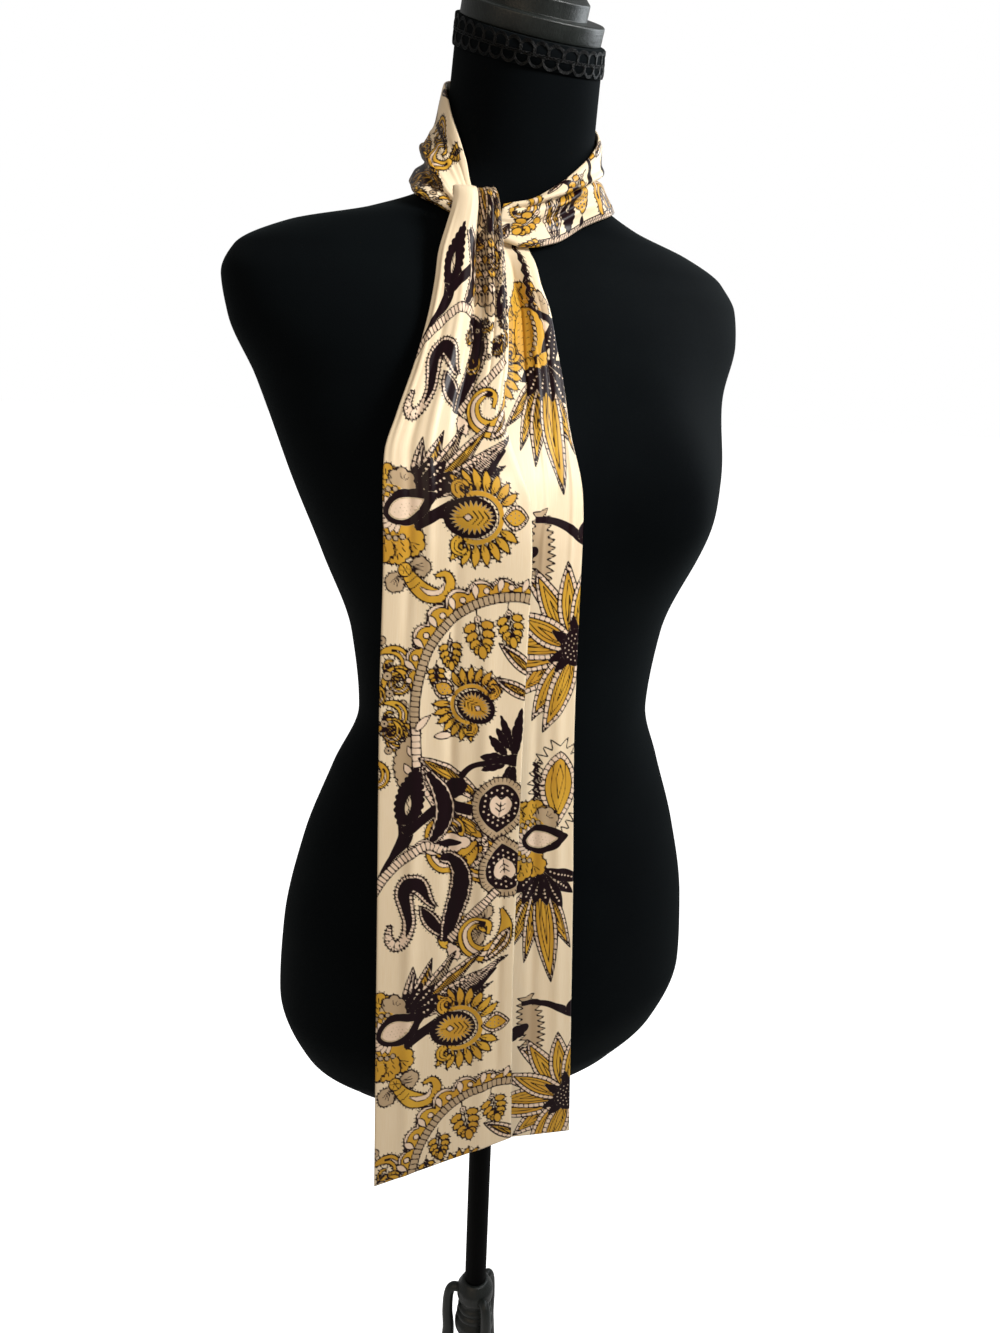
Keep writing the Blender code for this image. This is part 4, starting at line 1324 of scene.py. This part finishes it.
def dotted_paisley(cloth, spot):
    """A dark paisley with pale dots and a heart, in a rung border."""
    outer = moved(spot, lobed(boteh(1.3), 8.0, 0.5))
    paint(cloth, outer, "mauve")
    fringe(cloth, outer, 3.2, 1.5)
    fringe(cloth, outer, 3.2, -3.2)
    put(cloth, spot, boteh(1.0), "ink", 0)
    grid = staggered(np.arange(3, 31, 3.4), np.arange(-9.8, 11, 3.2), 1.7)
    dots(cloth, spot, grid[to_loop(grid[:, 0], grid[:, 1], boteh(1.0)) < -1.5], 0.8, "light")
    put(cloth, spot, through(HEART, 40)[:-1], "light")
    draw(cloth, spot, [[11, 0], [19.5, 0]], 0.9)
    for x in (13.5, 16.5):
        draw(cloth, spot, [[x + 2.2, -3.0], [x, 0], [x + 2.2, 3.0]], 0.9)


def gold_paisley(cloth, spot):
    """A gold curl that swells and winds in on itself, with a pale line inside and hairs outside."""
    line = through(CURL, 46)
    wide = np.array([2, 6, 8.5, 9, 8.5, 7.5, 6, 4, 2]) * spot[3]
    paint(cloth, ribbon(moved(spot, line), wide), "gold", hairs=(2.6, 1.4))
    draw(cloth, spot, line[8:38] + (0.6, 0.2), 2.4 * spot[3])
    wide = np.array([0.6, 2.6, 2.8, 2.2, 1.2]) * spot[3]
    paint(cloth, ribbon(moved(spot, line[9:36]), wide), "light", FINE_LINE)


def crest(cloth, spot):
    """A dense crest of small paisleys and beads."""
    for at, turn, size in (((0, 0), 24, 0.66), ((4, 20), -34, 0.62), ((-12, 10), 100, 0.55), ((8, 38), 60, 0.66),
                           ((-8, 40), 150, 0.55), ((10, 8), 70, 0.5), ((-10, -10), 60, 0.5)):
        gold_paisley(cloth, branch(spot, at, turn, size))
    for at in ((6, 12), (-4, 27), (15, 28), (-14, 30), (2, -8)):
        dots(cloth, spot, [at], 2.6 * spot[3], "mauve", 0.9)
        dots(cloth, spot, [at], 0.9, "ink")


def medallion(cloth, spot):
    """Curls and rung leaves that fan out from one point, with beads between."""
    for turn in (112, 248):
        gold_paisley(cloth, branch(spot, (0, 0), turn, 0.72))
    for turn in (140, 220):
        ladder_leaf(cloth, branch(spot, (0, 0), turn), 26, 12, 2, "gold", 2.6)
    for turn in (164, 196):
        gold_paisley(cloth, branch(spot, (-5, 0), turn, 0.85))
    put(cloth, branch(spot, (-8, 0), 180), lobed(petal(30, 9), 6.0, 1.0), "light")
    put(cloth, branch(spot, (-12, 0), 180), petal(18, 4), "ink", 0)
    dots(cloth, spot, [[-4, -7], [-4, 7], [-18, -9], [-18, 9]], 1.8, "mauve", 0.9)


def bud(cloth, spot):
    """A pinwheel bud between two fanned petals, over a banded bell and a curl."""
    for side in (-1, 1):
        wing = branch(spot, (0, side * 2), side * 64)
        put(cloth, wing, lobed(petal(13, 11, full=1.2), 4.2, 0.8), "mauve", hairs=(2.2, 1.2))
        for turn in (-14, 0, 14):
            draw(cloth, branch(wing, (0, 0), turn), [[3, 0], [9, 0]])
    bell = ((2, 0), (10, -1), (18, -4), (23, -10), (21, -18), (14, -19), (12, -13))
    widths = np.array([7, 9, 10, 8.5, 6.5, 4.5, 2]) * spot[3]
    sweep(cloth, spot, bell, 30, widths, "gold", INK_LINE, hairs=(2.4, 1.2))
    widths = np.array([0.8, 3.2, 3.0, 1.0]) * spot[3]
    sweep(cloth, spot, ((13, -2.5), (18.5, -5.5), (21, -11), (18, -16)), 16, widths, "light", FINE_LINE)
    for x in (6.5, 10.5):
        draw(cloth, spot, [[x, -3.6], [x + 1, 0.6], [x, 5]], 0.9)
    dots(cloth, spot, [[0, 0]], 4.0 * spot[3], "gold", INK_LINE)
    for turn in (0, 60, 120):
        draw(cloth, branch(spot, (0, 0), turn), [[-2.8, 0], [2.8, 0]], 0.7)


print("a paisley of size 1.3 has", len(boteh(1.3)), "points")

# %% Scrolls and stems
BAND = ((-3, 3), (6, 6), (11, 16), (10, 30), (6, 44), (3, 56), (1, 64))
HOOK = ((-6, 39), (-11, 34), (-17, 24), (-23, 21), (-28, 28), (-26, 39), (-24, 50), (-27, 61), (-33, 66), (-38, 60),
        (-37, 51))
ARCH = ((0, 0), (-1, -20), (2, -42), (9, -62), (24, -80), (44, -90), (66, -92), (84, -86))
# The spot for points that are on the cloth already
HERE = (0.0, 0.0, 0.0, 1.0)


def scroll(cloth, spot):
    """A dark swelling band, a blade that turns back from its foot, and a hooked curl with a dotted tail."""
    curve = through(HOOK, 50)
    hook = moved(spot, curve)
    widths = np.array([3, 8, 12, 13, 12, 10, 8, 7, 7, 6, 3]) * spot[3]
    paint(cloth, ribbon(hook, widths), "light", hairs=(2.6, 1.2), rungs=(2.6, 2.0))
    paint(cloth, ribbon(hook[:34], np.array([1, 3.5, 8, 9, 8, 6, 4, 1]) * spot[3]), "ink", 0)
    dots(cloth, spot, curve[37:48:3], 0.8, "ink")
    blade = branch(spot, (2, 63), -130)
    put(cloth, blade, petal(32, 11, 1.5, full=1.15), "light", hairs=(2.6, 1.4), rungs=(2.6, 1.8))
    put(cloth, branch(spot, (0.6, 61), -130), petal(28, 7.5, 1.5, full=1.15), "ink", 0)
    line = moved(spot, through(BAND, 50))
    wide = np.array([3, 7, 9.5, 10, 9, 7.5, 3])
    paint(cloth, ribbon(line, (wide + 4.4) * spot[3]), "light", hairs=(2.6, 1.2), rungs=(2.6, 2.0))
    paint(cloth, lobed(ribbon(line, wide * spot[3]), 9.0, 0.8), "ink", 0)
    put(cloth, branch(spot, (4, 66), 60), lobed(petal(13, 8, full=1.2), 3.6, 0.9), "light", hairs=(2.4, 1.3))
    ladder_stem(cloth, spot, through([[4, 64], [14, 52], [26, 38], [36, 28]], 24), 6.0, "light", 2.6)


def crescent(cloth, spot):
    """A dark scalloped crescent in a pale rim with hairs."""
    line = moved(spot, through([[0, 0], [8, 12], [12, 26], [9, 38], [3, 48]], 40))
    wide = np.array([2, 7, 9.5, 8, 2])
    paint(cloth, ribbon(line, (wide + 4.0) * spot[3]), "light", hairs=(2.6, 1.2))
    paint(cloth, lobed(ribbon(line, wide * spot[3]), 6.0, 0.8), "ink", 0)


def outer_side(aside):
    """1 or -1, so that a direction off the arch points away from its hollow."""
    return np.where(aside[:, :1] * 0.7 + aside[:, 1:] > 0, -1.0, 1.0)


def arch(cloth, spot):
    """A rung stem that bends over, a lobed crest outside it, and berry leaves that hang inside."""
    line = moved(spot, through(ARCH, 90))
    points, aside = spaced(line[18:84], 0.8)
    swell = np.sin(np.pi * np.linspace(0, 1, len(points))) ** 0.4
    lobes = np.abs(np.sin(np.pi * np.arange(len(points)) * 0.8 / 14.0)) ** 0.6
    for extra, ink, hairs in ((2.6, "light", (2.4, 1.5)), (0.0, "gold", None)):
        rim = points + aside * outer_side(aside) * ((6.5 + extra + 6.0 * lobes) * swell)[:, None]
        paint(cloth, np.concatenate([rim, points[::-1]]), ink, hairs=hairs)
    middle, ways = spaced(line[22:82], 14.0)
    ways = ways * outer_side(ways)
    dots(cloth, HERE, middle + ways * 6.0, 2.0, "light", 0.9)
    for foot, way in zip((middle[:-1] + middle[1:]) / 2, ways):
        turn = np.degrees(np.arctan2(way[1], way[0]))
        put(cloth, (*(foot + way * 2.8), turn + 24, 1.0), petal(10.5, 4.4, full=1.4), "light", 0.9)
    ladder_stem(cloth, spot, through(ARCH, 90), 6.0 * spot[3], "mauve", 3.4)
    for at, turn, size in (((12, -48), 86, 0.56), ((20, -65), 83, 0.74), ((37, -80), 78, 0.98), ((57, -84), 77, 0.88),
                           ((78, -85), 80, 0.7)):
        berry_leaf(cloth, branch(spot, at, turn, size))


def ribbons(cloth, spot):
    """Rung leaves that part from one foot, beside a small lobed crest."""
    shape = through([[2, -4], [-9, 6], [-13, 20], [-8, 36], [-1, 44], [-2, 22], [2, -4]], 60)[:-1]
    put(cloth, spot, lobed(shape, 5.5, 1.4), "mauve", hairs=(2.2, 1.2))
    for at in ((-5, 6), (-7, 18), (-5, 32)):
        put(cloth, branch(spot, at, 60), petal(9, 5, full=1.2), "light", 0.9)
    ladder_stem(cloth, spot, through([[0, -6], [1, 14], [3, 28], [14, 46], [20, 60]], 30), 6.0 * spot[3], "light")
    ladder_leaf(cloth, branch(spot, (2, 14), 30), 58, 13, 5, "gold")
    ladder_leaf(cloth, branch(spot, (4, 18), 62), 46, 10, -4, "light")
    for at, turn in (((12, 0), -14), ((0, -4), -60)):
        put(cloth, branch(spot, at, turn), petal(14, 5, 3), "light")


def dark_branch(cloth, spot):
    """A bare dark branch with a knot and a toothed leaf below."""
    put(cloth, branch(spot, (0, -6), 80), lobed(petal(50, 10, 3), 4.8, 6.5, sharp=True), "mauve")
    put(cloth, branch(spot, (2, 18), 152), lobed(petal(28, 9, 0), 7.0, 1.2), "ink", 0)
    sweep(cloth, spot, [[-4, -1], [10, 0], [22, 4], [36, 12], [52, 14]], 24, [4.2, 4.6, 6, 7.5, 9])
    put(cloth, branch(spot, (32, 12), -64), petal(15, 7, 2), "ink", 0)


def leaf_stem(cloth, spot):
    """The dark leaf on a stem that runs down to one side, with a branch to the other."""
    dark_leaf(cloth, branch(spot, (-1, 0), -84))
    sweep(cloth, spot, [[0, -4], [-1, 6], [-8, 17], [-15, 28], [-22, 42]], 20, [11, 9, 4.0, 2.6, 2.4])
    sweep(cloth, spot, [[-2, 2], [10, -7], [20, -15], [30, -17], [44, -14]], 16, [8, 6.5, 7, 8, 8])


def low_stem(cloth, spot):
    """A rung stem that rises from one edge."""
    ladder_stem(cloth, spot, through([[-22, 44], [-10, 24], [6, 8], [20, 1], [32, 6]], 30), 6.4, "light", 3.0)


def border(cloth, spot):
    """An edging of close stripes."""
    ladder_stem(cloth, spot, [[0, 0], [45, 0], [90, 0]], 8.0, "light", 2.3)


def wave(cloth, spot):
    """A dark band that swells and turns, with a rung gold one beside it."""
    sweep(cloth, spot, [[0, 0], [-7, 7], [-17, 12], [-21, 22], [-12, 30], [2, 33]], 40, [2, 5, 6, 5, 4, 2])
    ladder_stem(cloth, spot, through([[-4, 38], [6, 40], [14, 46], [18, 56]], 20), 6.0, "gold", 3.0)


def zigzag(cloth, spot):
    """A dark toothed line with hairs on one side."""
    teeth = np.array([[5.0 * (k % 2), 3.4 * k] for k in range(14)]) - (2.5, 0)
    back = teeth[::-1] * (0.5, 1.0) - (3.2, 0)
    put(cloth, spot, np.concatenate([teeth, back]), "ink", 0)
    points, aside = spaced(moved(spot, teeth), 2.4)
    strokes(cloth, points, points + aside * 2.6, 0.9)


print("the arch's stem runs over", len(ARCH), "points and leans", ARCH[-1][0], "mm across")

# %% Clouds and scales
def gold_flame(cloth, spot):
    """A gold blaze with an inner curl."""
    blaze = ((0, 0), (-7, 10), (-9, 24), (-4, 36), (5, 40), (10, 28), (10, 12), (6, 2), (0, 0))
    put(cloth, spot, lobed(through(blaze, 60)[:-1], 9.0, 1.4), "gold")
    for at in ((0, 14), (2, 24), (-2, 31)):
        put(cloth, branch(spot, at, 30), petal(10, 5, 2, full=1.2), "light", 0.9)
    draw(cloth, spot, through([[3, 4], [6, 14], [7, 28]], 14), 2.2)


def cloud(cloth, spot):
    """A gold cloud with beads down one side and short ticks."""
    put(cloth, spot, lobed(oval(34, 30), 7.0, 1.2), "gold")
    beads = np.arange(-14, 15, 3.6)
    dots(cloth, spot, np.stack([beads, -7.0 + 0.02 * beads**2], -1), 1.5, "mauve", 0.9)
    for x in np.arange(-12, 13, 4.8):
        for y in (-1.0, 5.0, 10.0):
            draw(cloth, spot, [[x, y - 1.4], [x + 1.2, y + 1.4]])


def scales(cloth, spot):
    """Rows of overlapping scales in turn mauve, gold and pale, each with a rib and a bead."""
    for row in range(9):
        for place in range(4):
            at = branch(spot, (row * 6.2, (place - 1.5) * 8.0 + 4.0 * (row % 2)), 178)
            ink = ("mauve", "gold", "mauve", "light")[(row + 2 * place) % 4]
            put(cloth, at, lobed(petal(12.5, 9.6, full=1.0), 3.4, 0.6), ink, 1.1)
            draw(cloth, at, [[3.5, 0], [8.5, 0]], 0.9)
            dots(cloth, at, [[9.6, 0]], 1.1, "ink")


print("clouds, flames and scales close the list of motifs")

# %% [markdown]
# The motifs stand along the strip in a repeat of about 35 cm, and the tails show it twice. The pieces of the
# loop round the neck show other parts of the same print.

# %% Layouts
REPEAT = 351.0
# Motif, across, along, turn, size
FRONT_LAYOUT = (
    (leaf_stem, 19, 88, 0, 1.0),
    (low_stem, 14, 98, 0, 1.0),
    (crescent, 33, 48, 0, 1.0),
    (medallion, 74, 446, -6, 1.4),
    (scroll, 46, 104, 0, 1.0),
    (gold_paisley, 86, 146, 122, 1.35),
    (comma, 92, 160, 112, 1.0),
    (plume, 16, 226, -31, 1.0),
    (peony, 7, 232, -8, 1.32),
    (pomegranate, 58, 233, 0, 1.28),
    (bud, 14, 266, 58, 1.1),
    (crest, -2, 320, 0, 1.15),
    (crest, 2, 352, 20, 1.0),
    (arch, 24, 374, 0, 1.0),
    (ribbons, 24, 374, 0, 1.0),
    (pomegranate, 60, 352, 209, 1.05),
    (flame, 90, 390, 0, 1.0),
    (ladder_leaf, 104, 334, 219, 0.9),
    (ladder_leaf, 104, 349, 206, 0.85),
    (dotted_paisley, 80, 441, -84, 1.12),
    (dotted_paisley, 84, 449, 82, 1.12),
    (bud, 74, 508, 196, 1.1),
)
BACK_LAYOUT = (
    (zigzag, 68, 4, 0, 1.0),
    (gold_flame, 58, 44, 0, 1.2),
    (petals_down, 70, 92, 0, 1.0),
    (peony, 62, 62, 14, 1.3),
    (dark_branch, 60, 192, 0, 1.0),
    (ladder_leaf, 92, 268, 196, 1.35),
    (ladder_leaf, 92, 262, 222, 1.3),
    (sunflower, 94, 276, 0, 1.35),
    (zigzag_leaf, 84, 344, 88, 1.3),
    (pomegranate, 20, 90, 90, 1.3),
)
# The strip's top inside the gathered roll, and the two halves of the loop
FRONT_TOP_LAYOUT = (
    (scales, 74, 2, 88, 1.0),
    (scales, 76, 60, 90, 0.9),
    (scales, 60, 6, 90, 0.8),
    (scales, 60, 58, 90, 0.8),
    (crest, 78, 34, 30, 0.7),
    (dotted_paisley, 84, 60, 80, 0.7),
    (dark_leaf, 64, 26, 84, 0.55),
    (ladder_leaf, 56, 6, 84, 1.0),
    (crest, 78, 112, 60, 0.7),
    (dotted_paisley, 82, 100, -80, 0.7),
    (dark_leaf, 78, 84, 100, 0.5),
    (comma, 48, 2, 70, 0.7),
)
BACK_TOP_LAYOUT = (
    (zigzag, 66, 2, 0, 1.1),
    (cloud, 58, 66, 90, 1.0),
    (feathers, 88, 52, 0, 1.0),
)
RIGHT_LAYOUT = (
    (border, 12, 24, 90, 1.0),
    (ladder_leaf, 8, 0, 16, 0.62),
    (ladder_leaf, 48, 37, 176, 0.85),
    (ladder_leaf, 44, 45, 184, 0.75),
    (gold_paisley, 46, -4, 74, 1.1),
    (berry_leaf, 43, 28, -140, 1.0),
    (berry_leaf, 14, 30, -110, 0.62),
    (dark_leaf, 44, 55, 180, 0.66),
    (pod, 22, 66, 8, 0.9),
    (comma, 52, 34, 60, 0.62),
    (wave, 57, 46, 0, 0.9),
    (berry_leaf, 50, 66, -120, 0.8),
    (ladder_leaf, 34, 84, 150, 0.8),
    (gold_paisley, 14, 84, 40, 0.8),
    (comma, 52, 84, 70, 0.7),
    (dark_leaf, 36, 92, 60, 0.7),
    (pomegranate, 30, 124, 60, 0.9),
    (plume, 40, 152, 60, 0.8),
)
LEFT_LAYOUT = (
    (crest, 20, 96, 30, 0.8),
    (crest, 40, 100, 80, 0.7),
    (crest, 24, 124, 10, 0.8),
    (dark_leaf, 34, 92, 100, 0.5),
    (crest, 12, 12, 0, 1.0),
    (crest, 34, 24, 90, 1.0),
    (pomegranate, 58, 26, 20, 0.8),
    (crest, 10, 48, 40, 1.0),
    (dark_leaf, 30, 60, 60, 0.7),
    (crest, 44, 58, 0, 1.0),
    (crest, 14, 78, 90, 0.9),
    (crest, 34, 84, 20, 0.9),
    (dark_leaf, 20, 110, -80, 0.5),
    (crest, 12, 112, 0, 0.9),
    (crest, 36, 116, 60, 0.9),
    (gold_paisley, 62, 128, 210, 0.85),
    (berry_leaf, 70, 134, 200, 0.5),
    (comma, 70, 80, 60, 0.5),
    (zigzag, 58, 92, 0, 0.6),
)


def print_fabric(cloth, layout, repeats=(0,)):
    """Lays the layout's motifs on the cloth, once for each of the repeats."""
    for number in repeats:
        for motif, across, along, turn, size in layout:
            motif(cloth, (across, along + number * REPEAT, turn, size))


def printed(made, cloth, shares):
    """Keeps each ink's distances as an attribute of the mesh, and the place on the cloth in metres as its UVs."""
    columns = np.round(shares * (len(cloth["us"]) - 1)).astype(int)
    for ink in INKS:
        values = cloth[ink][:, columns].astype(np.float32).ravel()
        made.data.attributes.new(ink, "FLOAT", "POINT").data.foreach_set("value", values)
    u, v = np.meshgrid(cloth["us"][columns], cloth["vs"])
    corners = np.empty(len(made.data.loops), np.int32)
    made.data.loops.foreach_get("vertex_index", corners)
    places = np.stack([u.ravel(), v.ravel()], -1)[corners] / 1000
    made.data.uv_layers.new(name="cloth").data.foreach_set("uv", places.astype(np.float32).ravel())


def run_of(form, turns):
    """Millimetres along the middle of a piece that is given by turns."""
    middle = form(*np.meshgrid((0.49, 0.5, 0.51), turns))[:, 1]
    return 1000 * np.concatenate([[0], np.cumsum(np.linalg.norm(np.diff(middle, axis=0), axis=1))])


# Millimetres of cloth across the two tails and the folded halves of the loop
TAIL_CLOTH, RIGHT_CLOTH, LEFT_CLOTH = 96, 62, 78
front_cloth = new_cloth(np.linspace(0, TAIL_CLOTH, TAIL_OUTER), front_along * 1000)
back_cloth = new_cloth(np.linspace(0, TAIL_CLOTH, TAIL_OUTER), back_along * 1000)
right_cloth = new_cloth(np.linspace(0, RIGHT_CLOTH, RIGHT_OUTER), run_of(right_form, right_turns))
left_cloth = new_cloth(np.linspace(0, LEFT_CLOTH, LEFT_OUTER), run_of(left_form, left_turns))
for made, cloth, shares, repeated, single in (
    (front_tail, front_cloth, front_shares, FRONT_LAYOUT, FRONT_TOP_LAYOUT),
    (back_tail, back_cloth, back_shares, BACK_LAYOUT, BACK_TOP_LAYOUT),
    (right_band, right_cloth, right_shares, (), RIGHT_LAYOUT),
    (left_band, left_cloth, left_shares, (), LEFT_LAYOUT),
):
    print_fabric(cloth, repeated, (0, 1))
    print_fabric(cloth, single)
    printed(made, cloth, shares)
    print(made.name, "cloth", [round(float(cloth[side][-1]), 1) for side in ("us", "vs")], "mm")

# %% [markdown]
# Silk satin floats its long warp threads over the surface, so it is smooth, soft and glossy along the strip.
# The inks soak in and keep the gloss. The weave's threads are finer than a render can show, so the threads
# are drawn about four times as coarse, as faint streaks and a low bump along the cloth. The streaks also
# lighten and darken the cream a little: painted sheen and shade, for the faint light and dark bands that satin
# shows along its length.

# %% Satin
FLAT_INKS = {"light": "ECD2B8", "mauve": "BCA382", "ink": "17040A"}
# Half the width in millimetres over which an ink's edge fades
EDGE_BLUR = 0.22


def make_satin():
    """Cream satin with faint streaks of painted sheen and shade, under four inks, each mixed in where its distance is
    below zero. The gold is uneven.
    """
    made, tree, shader = new_material("printed silk satin", Roughness=0.36, Specular_IOR_Level=0.17)
    where = add_node(tree, "ShaderNodeUVMap", uv_map="cloth").outputs["UV"]
    drift = add_node(tree, "ShaderNodeTexNoise", {"Scale": 22.0, "Detail": 2.0}, {"Vector": where})
    streak_place = add_node(tree, "ShaderNodeMapping", {"Scale": (2400.0, 60.0, 1.0)}, {"Vector": where})
    painted_shade_and_weave_streak = add_node(
        tree, "ShaderNodeTexNoise", {"Scale": 1.0, "Detail": 2.0}, {"Vector": streak_place.outputs["Vector"]}
    )
    # The cream is mixed from a darker and a lighter shade along these streaks: painted sheen and shade, with the coarse
    # weave
    ground = add_node(
        tree, "ShaderNodeMix", {FIRST: srgb("E8D0A8"), SECOND: srgb("F4E3C8")}, {FACTOR: painted_shade_and_weave_streak.outputs["Fac"]},
        data_type="RGBA",
    )
    gold = add_node(
        tree, "ShaderNodeMix", {FIRST: srgb("BD822C"), SECOND: srgb("DFB43E")}, {FACTOR: drift.outputs["Fac"]},
        data_type="RGBA",
    )
    colour = ground.outputs[MIXED]
    for ink in reversed(INKS):
        field = add_node(tree, "ShaderNodeAttribute", attribute_name=ink)
        share = add_node(
            tree, "ShaderNodeMapRange", {"From Min": -EDGE_BLUR, "From Max": EDGE_BLUR, "To Min": 1.0, "To Max": 0.0},
            {"Value": field.outputs["Fac"]},
        )
        values = {SECOND: srgb(FLAT_INKS[ink])} if ink in FLAT_INKS else {}
        links = {FACTOR: share.outputs["Result"], FIRST: colour}
        if ink == "gold":
            links[SECOND] = gold.outputs[MIXED]
        colour = add_node(tree, "ShaderNodeMix", values, links, data_type="RGBA").outputs[MIXED]
    tree.links.new(colour, shader.inputs["Base Color"])
    bump = add_node(tree, "ShaderNodeBump", {"Strength": 0.12, "Distance": 0.0001}, {"Height": painted_shade_and_weave_streak.outputs["Fac"]})
    tree.links.new(bump.outputs["Normal"], shader.inputs["Normal"])
    return made


satin = make_satin()
print(satin.name, "with", len(satin.node_tree.nodes), "nodes")

# %% [markdown]
# The four pieces of the scarf take the satin and stand for their solids. Both tails hang and both halves of
# the loop are draped round the neck.

# %% Finish
finish_piece(front_tail, satin, "scarf_satin", "scarf_front_tail")
finish_piece(back_tail, satin, "scarf_satin", "scarf_back_tail")
finish_piece(right_band, satin, "scarf_satin", "scarf_right_band")
finish_piece(left_band, satin, "scarf_satin", "scarf_left_band")
